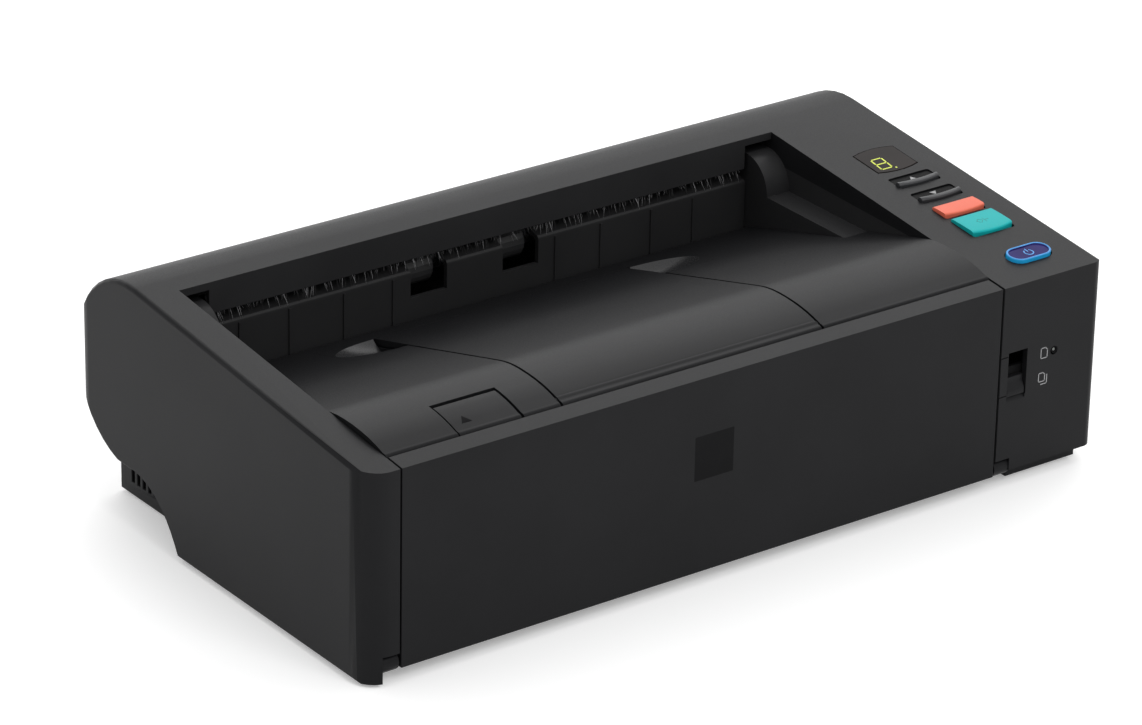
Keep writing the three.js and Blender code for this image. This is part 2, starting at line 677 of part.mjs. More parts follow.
function mainCasing() {
  const tall = CASE_DEPTH;
  const low = -CUT_OVERRUN;
  const lipBottom = topHeight(RAIL_FRONT) - LIP_DROP;
  const railUnder = topHeight(RAIL_FRONT) - WALL - GAP;
  const lipSpan = [RAIL_FRONT - CUT_OVERRUN, RAIL_FRONT + LIP_THICKNESS + CUT_OVERRUN];
  const baseFront = CASE_DEPTH - CAP_FOOT_SETBACK - WALL;
  const baseRight = CASE_WIDTH - END_CAP_WIDTH;
  const body = cut(bevelledHull(), [
    block([BAY_LEFT, BAY_RIGHT], [low, RAIL_FRONT], [low, tall]),
    turnRoom(BAY_LEFT, BAY_RIGHT),
    block([BAY_LEFT, BAY_RIGHT], lipSpan, [low, lipBottom]),
    block([BAY_LEFT, BAY_LEFT + LIP_END_LENGTH], lipSpan, [low, railUnder]),
    block([BAY_RIGHT - LIP_END_LENGTH, BAY_RIGHT], lipSpan, [low, railUnder]),
    sideHollow(WALL, BAY_LEFT - WALL),
    sideHollow(PLATE_RIGHT, CASE_WIDTH - WALL),
    block([BAY_RIGHT - CUT_OVERRUN, CASE_WIDTH + CUT_OVERRUN], [low, CASE_DEPTH], [low, CONTROL_BOTTOM]),
    block([PLATE_RIGHT, baseRight], [baseFront, CASE_DEPTH], [low, BASE_WALL_HEIGHT + GAP]),
    block([BAY_LEFT, baseRight], [PLATE_REAR, CASE_DEPTH], [low, BASE_WALL_HEIGHT + GAP]),
    ...controlCuts(),
    ...plateHoles(EJECT_Y, EJECT_Z, BUSH_RADIUS + GAP),
    ...plateHoles(DRIVE_Y, DRIVE_Z, BUSH_RADIUS + GAP),
    ...plateHoles(FEED_Y, DRIVE_Z, SHAFT_RADIUS + SHAFT_CLEARANCE),
    block(
      [SLOT_LEFT, SLOT_LEFT + SLOT_WIDTH],
      [low, WALL + CUT_OVERRUN],
      [SLOT_BOTTOM, SLOT_BOTTOM + SLOT_HEIGHT],
    ),
    rodY(LENS_X, LENS_Z, LENS_RADIUS + GAP, low, WALL + CUT_OVERRUN, PIN_SIDES),
  ]);
  const coverHole = COVER_PIN_RADIUS + HINGE_CLEARANCE;
  const pinReach = COVER_PIN_LENGTH + GAP;
  const guides = cut(
    joined([
      sideGuide(BAY_LEFT - WALL / 2, LEDGE_LEFT_EDGE),
      sideGuide(LEDGE_RIGHT_EDGE, BAY_RIGHT + WALL / 2),
    ]),
    [
      rodX(COVER_AXIS_Y, COVER_AXIS_Z, coverHole, LEDGE_LEFT_EDGE - pinReach, LEDGE_LEFT_EDGE + CUT_OVERRUN),
      rodX(COVER_AXIS_Y, COVER_AXIS_Z, coverHole, LEDGE_RIGHT_EDGE - CUT_OVERRUN, LEDGE_RIGHT_EDGE + pinReach),
      rodX(EJECT_Y, EJECT_Z, BUSH_FLANGE_RADIUS + GAP, BAY_LEFT - WALL, BAY_RIGHT + WALL),
    ],
  );
  const lugReach = PANEL_LUG_RADIUS + GAP;
  const lugNotch = (x0, x1) =>
    block([x0, x1], [low, PANEL_AXIS_Y + lugReach], [low, PANEL_AXIS_Z + lugReach]);
  const notched = cut(body.add(guides), [
    lugNotch(BAY_LEFT - PANEL_LUG_LENGTH, BAY_LEFT + CUT_OVERRUN),
    lugNotch(BAY_RIGHT - CUT_OVERRUN, BAY_RIGHT + PANEL_LUG_LENGTH),
  ]);
  const pinHole = PANEL_PIN_RADIUS + HINGE_CLEARANCE;
  const panelReach = PANEL_PIN_LENGTH + GAP;
  return cut(joined([notched, ...panelLugs(), ...boardPosts()]), [
    rodX(PANEL_AXIS_Y, PANEL_AXIS_Z, pinHole, BAY_LEFT - panelReach, BAY_LEFT + CUT_OVERRUN, PIN_SIDES),
    rodX(PANEL_AXIS_Y, PANEL_AXIS_Z, pinHole, BAY_RIGHT - CUT_OVERRUN, BAY_RIGHT + panelReach, PIN_SIDES),
  ]);
}

// A profile of [radius, place along the axis] points turned about the x axis
function turnedX(profile, sides = ROUND_SIDES) {
  const points = profile.map(([radius, along]) => new THREE.Vector2(radius, along));
  const lathe = new THREE.LatheGeometry(points, sides);
  return solidFrom(lathe.applyMatrix4(new THREE.Matrix4().makeRotationZ(-Math.PI / 2)));
}

function tube(outer, bore, length, chamfer = 0) {
  return turnedX([
    [bore, 0],
    [outer - chamfer, 0],
    [outer, chamfer],
    [outer, length - chamfer],
    [outer - chamfer, length],
    [bore, length],
    [bore, 0],
  ].filter(([r, a], i, all) => i === 0 || r !== all[i - 1][0] || a !== all[i - 1][1]));
}

function mirroredX(solid) {
  const geometry = geometryFrom(solid);
  geometry.applyMatrix4(new THREE.Matrix4().makeScale(-1, 1, 1));
  const p = geometry.attributes.position.array;
  for (let i = 0; i < p.length; i += 9) {
    for (let k = 0; k < 3; k++) {
      [p[i + 3 + k], p[i + 6 + k]] = [p[i + 6 + k], p[i + 3 + k]];
    }
  }
  return solidFrom(geometry);
}

function baseTray() {
  const low = -CUT_OVERRUN;
  const capFoot = CASE_DEPTH - CAP_FOOT_SETBACK;
  const stripRight = CASE_WIDTH - BASE_STRIP_INSET;
  const stripLeft = BAY_RIGHT + PANEL_LUG_LENGTH + WALL;
  const stripTop = CONTROL_BOTTOM - GAP;
  const tray = joined([
    block([BASE_LEFT, BASE_RIGHT], [BASE_FRONT, BASE_REAR], [0, BASE_FLOOR]),
    block([stripLeft, stripRight], [BASE_STRIP_INSET, capFoot], [0, BASE_FLOOR]),
    block([stripRight - WALL, stripRight], [BASE_STRIP_INSET, capFoot], [0, stripTop]),
    block([stripLeft, stripRight], [BASE_STRIP_INSET, BASE_STRIP_INSET + WALL], [0, stripTop]),
    block([BAY_RIGHT, PLATE_RIGHT], [BASE_FRONT + WALL, capFoot], [0, stripTop]),
    block([BASE_LEFT, BASE_RIGHT], [BASE_REAR - WALL, BASE_REAR], [0, BASE_WALL_HEIGHT]),
    block([BASE_LEFT, BASE_LEFT + WALL], [BASE_SIDE_FRONT, BASE_REAR], [0, BASE_WALL_HEIGHT]),
    block([BASE_RIGHT - WALL, BASE_RIGHT], [BASE_SIDE_FRONT, BASE_REAR], [0, BASE_WALL_HEIGHT]),
    ...boardStandoffs(),
  ]);
  const vents = Array.from({ length: VENT_COUNT }, (_, i) => {
    const front = VENT_START + i * VENT_PITCH;
    return block(
      [BASE_LEFT - CUT_OVERRUN, BASE_RIGHT + CUT_OVERRUN],
      [front, front + VENT_WIDTH],
      [VENT_BOTTOM, VENT_BOTTOM + VENT_HEIGHT],
    ).subtract(
      block(
        [BASE_LEFT + WALL + GAP, BASE_RIGHT - WALL - GAP],
        [front - GAP, front + VENT_WIDTH + GAP],
        [VENT_BOTTOM - GAP, VENT_BOTTOM + VENT_HEIGHT + GAP],
      ),
    );
  });
  const portHole = (left, width, height) =>
    block(
      [left - GAP, left + width + GAP],
      [BASE_REAR - WALL - CUT_OVERRUN, BASE_REAR + CUT_OVERRUN],
      [PORT_BOTTOM - GAP, PORT_BOTTOM + height + GAP],
    );
  return cut(tray, [
    ...vents,
    portHole(USB_LEFT, USB_WIDTH, USB_HEIGHT),
    portHole(INLET_LEFT, INLET_WIDTH, INLET_HEIGHT),
    ...FOOT_PLACES.map(({ x, y }) => rodZ(x, y, FOOT_RADIUS + GAP, low, FOOT_RECESS, FOOT_SIDES)),
  ]);
}

const FOOT_SIDES = 18;
const PORT_BOTTOM = MAIN_BOARD_HEIGHT + BOARD_THICKNESS + GAP;
const FOOT_PLACES = [
  { name: "foot_front_left", x: BASE_LEFT + FOOT_INSET, y: BASE_FRONT + FOOT_INSET },
  { name: "foot_front_right", x: BASE_RIGHT - FOOT_INSET, y: BASE_FRONT + FOOT_INSET },
  { name: "foot_rear_left", x: BASE_LEFT + FOOT_INSET, y: BASE_REAR - FOOT_INSET },
  { name: "foot_rear_right", x: BASE_RIGHT - FOOT_INSET, y: BASE_REAR - FOOT_INSET },
];

function boardStandoffs() {
  const lefts = [MAIN_BOARD_LEFT + STANDOFF_INSET, MAIN_BOARD_LEFT + MAIN_BOARD_WIDTH - STANDOFF_INSET];
  const fronts = [MAIN_BOARD_FRONT + STANDOFF_INSET, BASE_REAR - WALL - GAP - STANDOFF_INSET];
  return lefts.flatMap((x) =>
    fronts.map((y) => rodZ(x, y, STANDOFF_RADIUS, GAP, MAIN_BOARD_HEIGHT - GAP, PIN_SIDES)),
  );
}

function foot() {
  return rodZ(0, 0, FOOT_RADIUS, -FOOT_STAND, FOOT_RECESS - GAP, FOOT_SIDES);
}

// Paper guides
const GUIDE_LEFT = BASE_LEFT + WALL + GAP;
const GUIDE_RIGHT = BAY_RIGHT - WALL - GAP;

function rollerWindow(x, y, width, z0, z1) {
  const half = width / 2 + GAP + GAP;
  const reach = DRIVE_ROLLER_RADIUS + GAP;
  return block([x - half, x + half], [y - reach, y + reach], [z0, z1]);
}

function sensorWindow(y, z0, z1) {
  const half = SENSOR_LENGTH / 2 + GAP;
  return block([PATH_CENTRE - half, PATH_CENTRE + half], [y - GAP, y + SENSOR_WIDTH + GAP], [z0, z1]);
}

function lowerGuide() {
  const under = PATH_HEIGHT - GUIDE_THICKNESS;
  const plate = prismX(
    outline([
      [CHUTE_FRONT, CHUTE_FRONT_HEIGHT],
      [CHUTE_FRONT, CHUTE_FRONT_HEIGHT - GUIDE_THICKNESS],
      [CHUTE_REAR + GUIDE_THICKNESS / 2, under],
      [TURN_Y - GAP, under],
      [TURN_Y - GAP, PATH_HEIGHT],
      [CHUTE_REAR, PATH_HEIGHT],
    ]),
    GUIDE_LEFT,
    GUIDE_RIGHT,
  );
  const legs = [GUIDE_LEFT, GUIDE_RIGHT - GUIDE_THICKNESS].flatMap((x) =>
    [CHUTE_REAR, TURN_Y - 2 * GUIDE_LEG].map((y) =>
      block([x, x + GUIDE_THICKNESS], [y, y + GUIDE_LEG], [BASE_FLOOR + GAP, PATH_HEIGHT - GUIDE_THICKNESS / 2]),
    ),
  );
  const low = under - CUT_OVERRUN;
  const high = PATH_HEIGHT + CUT_OVERRUN;
  return cut(joined([plate, ...legs]), [
    rollerWindow(PATH_CENTRE, FEED_Y, FEED_ROLLER_WIDTH, low, high),
    rollerWindow(PATH_CENTRE - DRIVE_ROLLER_OFFSET, DRIVE_Y, DRIVE_ROLLER_WIDTH, low, high),
    rollerWindow(PATH_CENTRE + DRIVE_ROLLER_OFFSET, DRIVE_Y, DRIVE_ROLLER_WIDTH, low, high),
    sensorWindow(LOWER_SENSOR_Y, low, high),
  ]);
}

// Ribbed wall at the back of the recess, carried on round the inside of the paper's turn
function turnGuide() {
  const lip = GUIDE_THICKNESS - GAP;
  const inner = TURN_RADIUS - GUIDE_THICKNESS;
  const band = outline([
    [WALL_FACE, WALL_BOTTOM],
    [WALL_FACE + GUIDE_THICKNESS, WALL_BOTTOM],
    [WALL_FACE + GUIDE_THICKNESS, WALL_TOP - GUIDE_THICKNESS],
    ...circlePoints(TURN_Y, TURN_Z, inner, TURN_STEPS, Math.PI / 2, -Math.PI / 2),
    ...circlePoints(TURN_Y, TURN_Z, TURN_RADIUS, TURN_STEPS, -Math.PI / 2, Math.PI / 2),
    ...circlePoints(WALL_FACE + lip, WALL_TOP - lip, lip, 3, Math.PI / 2, Math.PI),
  ]);
  const ribs = WALL_RIB_SHARES.map((share) => PATH_CENTRE + share * (COVER_REAR_RIGHT - COVER_REAR_LEFT)).map((x) =>
    block(
      [x - WALL_RIB / 2, x + WALL_RIB / 2],
      [WALL_FACE - WALL_RIB_DEPTH, WALL_FACE + GAP],
      [WALL_BOTTOM, WALL_TOP - lip],
    ),
  );
  const windows = [-WINDOW_OFFSET, WINDOW_OFFSET].map((offset) =>
    block(
      [PATH_CENTRE + offset - WINDOW_WIDTH / 2, PATH_CENTRE + offset + WINDOW_WIDTH / 2],
      [WALL_FACE - CUT_OVERRUN, EJECT_Y + EJECT_ROLLER_RADIUS + GAP],
      [WINDOW_SILL, TURN_Z + TURN_RADIUS + CUT_OVERRUN],
    ),
  );
  const wall = prismX(band, COVER_REAR_LEFT, COVER_REAR_RIGHT);
  return cut(joined([wall, ...ribs]), windows);
}

function outerGuide() {
  const inner = TURN_RADIUS + TURN_PATH;
  const outer = inner + GUIDE_THICKNESS;
  const band = outline([
    ...circlePoints(TURN_Y, TURN_Z, outer, TURN_STEPS, -Math.PI / 2, OUTER_TURN_END),
    ...circlePoints(TURN_Y, TURN_Z, inner, TURN_STEPS, OUTER_TURN_END, -Math.PI / 2),
  ]);
  return prismX(band, GUIDE_LEFT, GUIDE_RIGHT);
}

const TURN_STEPS = 14;
const OUTER_TURN_END = THREE.MathUtils.degToRad(72);

// Involute gear outline about a point; a tooth stands at the given angle
function gearOutline(a, b, teeth, angle, boreRadius) {
  const pitch = (GEAR_MODULE * teeth) / 2;
  const base = pitch * Math.cos(PRESSURE_ANGLE);
  const tip = pitch + ADDENDUM_SHARE * GEAR_MODULE;
  const root = pitch - DEDENDUM_SHARE * GEAR_MODULE;
  const involute = (pressure) => Math.tan(pressure) - pressure;
  const halfPitch = Math.PI / (2 * teeth) - GEAR_BACKLASH / (4 * pitch);
  const halfAt = (radius) =>
    halfPitch + involute(PRESSURE_ANGLE) - involute(Math.acos(Math.min(1, base / radius)));
  const rootHalf = halfAt(Math.max(base, root));
  const flank = [
    [root, rootHalf],
    [tip, halfAt(tip)],
  ];
  const points = [];
  for (let i = 0; i < teeth; i++) {
    const centre = angle + (2 * Math.PI * i) / teeth;
    flank.forEach(([r, half]) => {
      points.push([a + r * Math.cos(centre - half), b + r * Math.sin(centre - half)]);
    });
    [...flank].reverse().forEach(([r, half]) => {
      points.push([a + r * Math.cos(centre + half), b + r * Math.sin(centre + half)]);
    });
  }
  const shape = outline(points);
  if (boreRadius > 0) shape.holes.push(outline(circlePoints(a, b, boreRadius, ROUND_SIDES)));
  return shape;
}

// Angle that sets a gear's teeth in the gaps of the gear before it
function meshedAngle(before, beforeTeeth, teeth, direction) {
  const share = ((direction - before) * beforeTeeth) / (2 * Math.PI);
  return direction + Math.PI - ((0.5 - share) * 2 * Math.PI) / teeth;
}

// Rack outline in (x, z); its teeth point down when side is -1 and up when it is 1
function rackOutline(left, length, pitchZ, side) {
  const step = Math.PI * GEAR_MODULE;
  const tip = ADDENDUM_SHARE * GEAR_MODULE;
  const root = DEDENDUM_SHARE * GEAR_MODULE;
  const slope = Math.tan(PRESSURE_ANGLE);
  const half = step / 4 - GEAR_BACKLASH / 4;
  const z = (height) => pitchZ + side * height;
  const reach = Math.ceil(GUIDE_TRAVEL / step) + 2;
  const ahead = Math.floor((left + length - PATH_CENTRE) / step);
  const behind = Math.floor((PATH_CENTRE - left) / step);
  const points = [[left, z(-root)]];
  for (let k = -Math.min(reach, behind) + 0.5; k < Math.min(reach, ahead); k++) {
    const x = PATH_CENTRE + k * step;
    points.push([x - half - root * slope, z(-root)]);
    points.push([x - half + tip * slope, z(tip)]);
    points.push([x + half - tip * slope, z(tip)]);
    points.push([x + half + root * slope, z(-root)]);
  }
  points.push([left + length, z(-root)], [left + length, z(-root - RACK_BACK)], [left, z(-root - RACK_BACK)]);
  return outline(side > 0 ? points.reverse() : points);
}

function gearX(y, z, teeth, angle, bore) {
  return prismX(gearOutline(y, z, teeth, angle, bore), GEAR_LEFT, GEAR_RIGHT);
}

function stadium(y0, z0, y1, z1, radius, steps = 8) {
  const along = Math.atan2(z1 - z0, y1 - y0);
  return outline([
    ...circlePoints(y1, z1, radius, steps, along - Math.PI / 2, along + Math.PI / 2),
    ...circlePoints(y0, z0, radius, steps, along + Math.PI / 2, along + 1.5 * Math.PI),
  ]);
}

function driveBelt() {
  const inner = PULLEY_RADIUS + GAP;
  const shape = stadium(DRIVE_Y, DRIVE_Z, EJECT_Y, EJECT_Z, inner + BELT_THICKNESS);
  shape.holes.push(stadium(DRIVE_Y, DRIVE_Z, EJECT_Y, EJECT_Z, inner));
  return prismX(shape, BELT_LEFT, BELT_RIGHT);
}

function driveBracket() {
  const y0 = IDLER_Y - BRACKET_MARGIN;
  const y1 = DRIVE_Y + BRACKET_MARGIN + BRACKET_MARGIN / 2;
  const z0 = CONTROL_BOTTOM;
  const z1 = PINION_Z + MOTOR_RADIUS + WALL;
  const corner = BRACKET_POST_RADIUS;
  const plate = prismX(
    roundedRectangle(y0, y1, z0, z1, [corner, corner, corner, corner]),
    BRACKET_LEFT,
    BRACKET_LEFT + BRACKET_THICKNESS,
    3,
  );
  const post = (y, z) =>
    rodX(y, z, BRACKET_POST_RADIUS, PLATE_RIGHT + GAP, BRACKET_LEFT + GAP, PIN_SIDES);
  const pin = rodX(IDLER_Y, DRIVE_Z, IDLER_PIN_RADIUS, GEAR_LEFT, BRACKET_LEFT + GAP);
  const frame = joined([
    plate,
    post(y0 + corner, z1 - corner),
    post(y0 + corner, PINION_Z),
    post(y1 - corner, z0 + corner),
    pin,
  ]);
  const shaftHole = rodX(
    PINION_Y,
    PINION_Z,
    MOTOR_SHAFT_RADIUS + GAP + GAP,
    BRACKET_LEFT - CUT_OVERRUN,
    BRACKET_LEFT + BRACKET_THICKNESS + CUT_OVERRUN,
  );
  return frame.subtract(shaftHole);
}

function bush(y, z, toRight) {
  const profile = [
    [SHAFT_RADIUS + SHAFT_CLEARANCE, 0],
    [BUSH_RADIUS, 0],
    [BUSH_RADIUS, WALL + GAP],
    [BUSH_FLANGE_RADIUS, WALL + GAP],
    [BUSH_FLANGE_RADIUS, WALL + GAP + BUSH_FLANGE],
    [SHAFT_RADIUS + SHAFT_CLEARANCE, WALL + GAP + BUSH_FLANGE],
    [SHAFT_RADIUS + SHAFT_CLEARANCE, 0],
  ];
  const solid = turnedX(profile, PIN_SIDES + 4);
  return toRight ? mirroredX(solid) : solid;
}

// Surface that the ejected sheets lie on: its outline in (y, z), lowered by a drop
function rearHeight(y) {
  const top = COVER_AXIS_Z + COVER_BARREL_RADIUS * Math.hypot(1, REAR_FALL_SHARE);
  return top + REAR_FALL_SHARE * (COVER_AXIS_Y - y);
}

const RIDGE_PULL_SHARE = 0.42;
const FALL_PULL_SHARE = 0.4;

function surfacePoints(drop, rear, steps = 5) {
  const path = new THREE.Path();
  path.moveTo(COVER_FRONT, BEAD_Z - BEAD_DROP - drop);
  path.quadraticCurveTo(COVER_FRONT, BEAD_Z - drop, BEAD_Y, BEAD_Z - drop);
  path.quadraticCurveTo(
    BEAD_Y + RIDGE_PULL_SHARE * (RIDGE_Y - BEAD_Y),
    RIDGE_Z - drop,
    RIDGE_Y,
    RIDGE_Z - drop,
  );
  const pull = FALL_PULL_SHARE * (SLOPE_Y - RIDGE_Y);
  path.bezierCurveTo(
    RIDGE_Y + pull,
    RIDGE_Z - drop,
    SLOPE_Y - pull,
    rearHeight(SLOPE_Y) + REAR_FALL_SHARE * pull - drop,
    SLOPE_Y,
    rearHeight(SLOPE_Y) - drop,
  );
  const points = path.getPoints(steps).map(({ x, y }) => [x, y]);
  return [...points, [rear, rearHeight(rear) - drop]];
}

function surfaceHeight(y) {
  const points = surfacePoints(0, COVER_AXIS_Y, 12);
  const next = points.findIndex(([py]) => py >= y);
  const [y0, z0] = points[next - 1];
  const [y1, z1] = points[next];
  return z0 + ((z1 - z0) * (y - y0)) / (y1 - y0);
}

function coverOutline() {
  const tilt = Math.atan(REAR_FALL_SHARE);
  const shoulder = COVER_AXIS_Y + COVER_BARREL_RADIUS * Math.sin(tilt);
  return outline([
    [COVER_FRONT, OVERHANG_BOTTOM],
    [COVER_FRONT + OVERHANG_DEPTH, OVERHANG_BOTTOM],
    [COVER_FRONT + OVERHANG_DEPTH, COVER_CHIN],
    [COVER_FRONT + OVERHANG_DEPTH + COVER_CHIN_RUN, COVER_BOTTOM],
    [COVER_AXIS_Y, COVER_BOTTOM],
    [COVER_AXIS_Y, COVER_AXIS_Z - 2 * COVER_BARREL_RADIUS],
    ...circlePoints(COVER_AXIS_Y, COVER_AXIS_Z, COVER_BARREL_RADIUS, 5, -Math.PI / 4, Math.PI / 2 - tilt),
    ...surfacePoints(0, shoulder).reverse().slice(1),
  ]);
}

function coverHollow(drop, x0, x1, rear) {
  const front = COVER_FRONT + OVERHANG_DEPTH + WALL;
  const chinEnd = front + COVER_CHIN_RUN;
  const roof = surfacePoints(drop, rear).filter(([y]) => y > front);
  return prismX(
    outline([
      [front, surfaceHeight(front) - drop],
      ...roof,
      [rear, COVER_BOTTOM - CUT_OVERRUN],
      [chinEnd, COVER_BOTTOM - CUT_OVERRUN],
      [chinEnd, COVER_BOTTOM + WALL / 2],
      [front, COVER_CHIN + WALL / 2],
    ].reverse()),
    x0,
    x1,
  );
}

// Spherical dish beside a rear corner of the flap, cut off square behind and along the flap
function scoop(x0, x1) {
  const radius = (SCOOP_LENGTH ** 2 + SCOOP_DEPTH ** 2) / (2 * SCOOP_DEPTH);
  const corner = x0 > FLAP_LEFT ? x0 : x1;
  const ball = new THREE.SphereGeometry(radius, SCOOP_SIDES, SCOOP_SIDES / 2);
  const centre = rearHeight(FLAP_REAR) + radius - SCOOP_DEPTH;
  ball.applyMatrix4(new THREE.Matrix4().makeTranslation(corner, FLAP_REAR, centre));
  const room = block([x0, x1], [FLAP_REAR - SCOOP_LENGTH, FLAP_REAR], [0, centre]);
  return solidFrom(ball).intersect(room);
}

const SCOOP_SIDES = 48;

function scoopBlock(x0, x1) {
  const front = FLAP_REAR - SCOOP_LENGTH - SCOOP_BLOCK;
  const rear = FLAP_REAR + SCOOP_BLOCK;
  const drop = SCOOP_DEPTH + WALL;
  return prismX(
    outline([
      [front, rearHeight(front) - drop],
      [rear, rearHeight(rear) - drop],
      [rear, rearHeight(rear) - GAP],
      [front, rearHeight(front) - GAP],
    ]),
    x0,
    x1,
  );
}

const LEVER_AXIS_Y = LEVER_REAR - FLAP_BARREL_RADIUS;
const LEVER_AXIS_Z = surfaceHeight(LEVER_AXIS_Y) - FLAP_BARREL_RADIUS;

function frontCover() {
  const rearWall = COVER_AXIS_Y - WALL;
  const ledgeReach = Math.hypot(COVER_AXIS_Y - LEDGE_FRONT, LEDGE_HEIGHT - COVER_AXIS_Z) + GAP;
  const wingRear = COVER_AXIS_Y - ledgeReach - WALL;
  const flapGap = [FLAP_LEFT - GAP, FLAP_RIGHT + GAP];
  const scoopLeft = [flapGap[0] - SCOOP_LENGTH, flapGap[0]];
  const scoopRight = [flapGap[1], flapGap[1] + SCOOP_LENGTH];
  const shell = cut(prismX(coverOutline(), COVER_LEFT, COVER_RIGHT), [
    rodX(COVER_AXIS_Y, COVER_AXIS_Z, ledgeReach, COVER_LEFT - CUT_OVERRUN, COVER_REAR_LEFT, ARC_SIDES),
    rodX(COVER_AXIS_Y, COVER_AXIS_Z, ledgeReach, COVER_REAR_RIGHT, COVER_RIGHT + CUT_OVERRUN, ARC_SIDES),
    coverHollow(WALL, COVER_LEFT + WALL, COVER_REAR_LEFT + WALL, wingRear),
    coverHollow(WALL, COVER_REAR_LEFT + WALL, flapGap[0] - WALL, rearWall),
    coverHollow(FLAP_POCKET + WALL, flapGap[0] - WALL, flapGap[1] + WALL, rearWall),
    coverHollow(WALL, flapGap[1] + WALL, COVER_REAR_RIGHT - WALL, rearWall),
    coverHollow(WALL, COVER_REAR_RIGHT - WALL, COVER_RIGHT - WALL, wingRear),
  ]);
  const pins = [
    rodX(COVER_AXIS_Y, COVER_AXIS_Z, COVER_PIN_RADIUS, COVER_REAR_LEFT - COVER_PIN_LENGTH, COVER_REAR_LEFT + GAP),
    rodX(COVER_AXIS_Y, COVER_AXIS_Z, COVER_PIN_RADIUS, COVER_REAR_RIGHT - GAP, COVER_REAR_RIGHT + COVER_PIN_LENGTH),
  ];
  const body = joined([
    shell,
    scoopBlock(scoopLeft[0] - SCOOP_BLOCK, scoopLeft[1] + SCOOP_BLOCK),
    scoopBlock(scoopRight[0] - SCOOP_BLOCK, scoopRight[1] + SCOOP_BLOCK),
    ...pins,
  ]);
  const pocketRear = FLAP_REAR + GAP;
  const pocket = prismX(
    outline([
      [COVER_FRONT - CUT_OVERRUN, BEAD_Z - BEAD_DROP - FLAP_POCKET],
      ...surfacePoints(FLAP_POCKET, pocketRear),
      [pocketRear, RIDGE_Z + CUT_OVERRUN],
      [COVER_FRONT - CUT_OVERRUN, RIDGE_Z + CUT_OVERRUN],
    ]),
    ...flapGap,
  );
  const flapHole = FLAP_PIN_RADIUS + HINGE_CLEARANCE;
  const leverHole = LEVER_PIN_RADIUS + HINGE_CLEARANCE;
  return cut(body, [
    pocket,
    rodX(FLAP_AXIS_Y, FLAP_AXIS_Z, FLAP_SWEEP, ...flapGap),
    rodX(FLAP_AXIS_Y, FLAP_AXIS_Z, flapHole, flapGap[0] - FLAP_PIN_LENGTH - GAP, flapGap[1] + FLAP_PIN_LENGTH + GAP, 16),
    scoop(...scoopLeft),
    scoop(...scoopRight),
    block(
      [LEVER_LEFT - GAP, LEVER_LEFT + LEVER_WIDTH + GAP],
      [COVER_FRONT - CUT_OVERRUN, LEVER_REAR + GAP],
      [RIDGE_Z - LEVER_POCKET, RIDGE_Z + CUT_OVERRUN],
    ),
    rodX(
      LEVER_AXIS_Y,
      LEVER_AXIS_Z,
      leverHole,
      LEVER_LEFT - LEVER_PIN_LENGTH - GAP,
      LEVER_LEFT + LEVER_WIDTH + LEVER_PIN_LENGTH + GAP,
      16,
    ),
  ]);
}

function ejectFlap() {
  const top = surfacePoints(0, FLAP_REAR, 6);
  const under = surfacePoints(FLAP_THICKNESS, FLAP_REAR, 6).filter(([y]) => y >= BEAD_Y);
  const skin = prismX(
    outline([[COVER_FRONT, BEAD_Z - FLAP_THICKNESS], ...under, ...top.reverse()]),
    FLAP_LEFT,
    FLAP_RIGHT,
  );
  return joined([
    skin,
    rodX(FLAP_AXIS_Y, FLAP_AXIS_Z, FLAP_BARREL_RADIUS, FLAP_LEFT, FLAP_RIGHT, 16),
    rodX(FLAP_AXIS_Y, FLAP_AXIS_Z, FLAP_PIN_RADIUS, FLAP_LEFT - FLAP_PIN_LENGTH, FLAP_RIGHT + FLAP_PIN_LENGTH, 16),
  ]);
}

function openLever() {
  const left = LEVER_LEFT;
  const right = LEVER_LEFT + LEVER_WIDTH;
  const upper = (drop) => {
    const points = surfacePoints(drop, COVER_AXIS_Y, 6).filter(([y]) => y < LEVER_AXIS_Y);
    return [...points, [LEVER_AXIS_Y, surfaceHeight(LEVER_AXIS_Y) - drop]];
  };
  const skin = prismX(outline([...upper(LEVER_THICKNESS), ...upper(0).reverse()]), left, right);
  const sweep = rodX(
    LEVER_AXIS_Y,
    LEVER_AXIS_Z,
    LEVER_AXIS_Y - COVER_FRONT,
    left - CUT_OVERRUN,
    right + CUT_OVERRUN,
    ARC_SIDES,
  );
  return joined([
    skin.intersect(sweep),
    rodX(LEVER_AXIS_Y, LEVER_AXIS_Z, FLAP_BARREL_RADIUS, left, right, 16),
    rodX(LEVER_AXIS_Y, LEVER_AXIS_Z, LEVER_PIN_RADIUS, left - LEVER_PIN_LENGTH, right + LEVER_PIN_LENGTH, 16),
  ]);
}

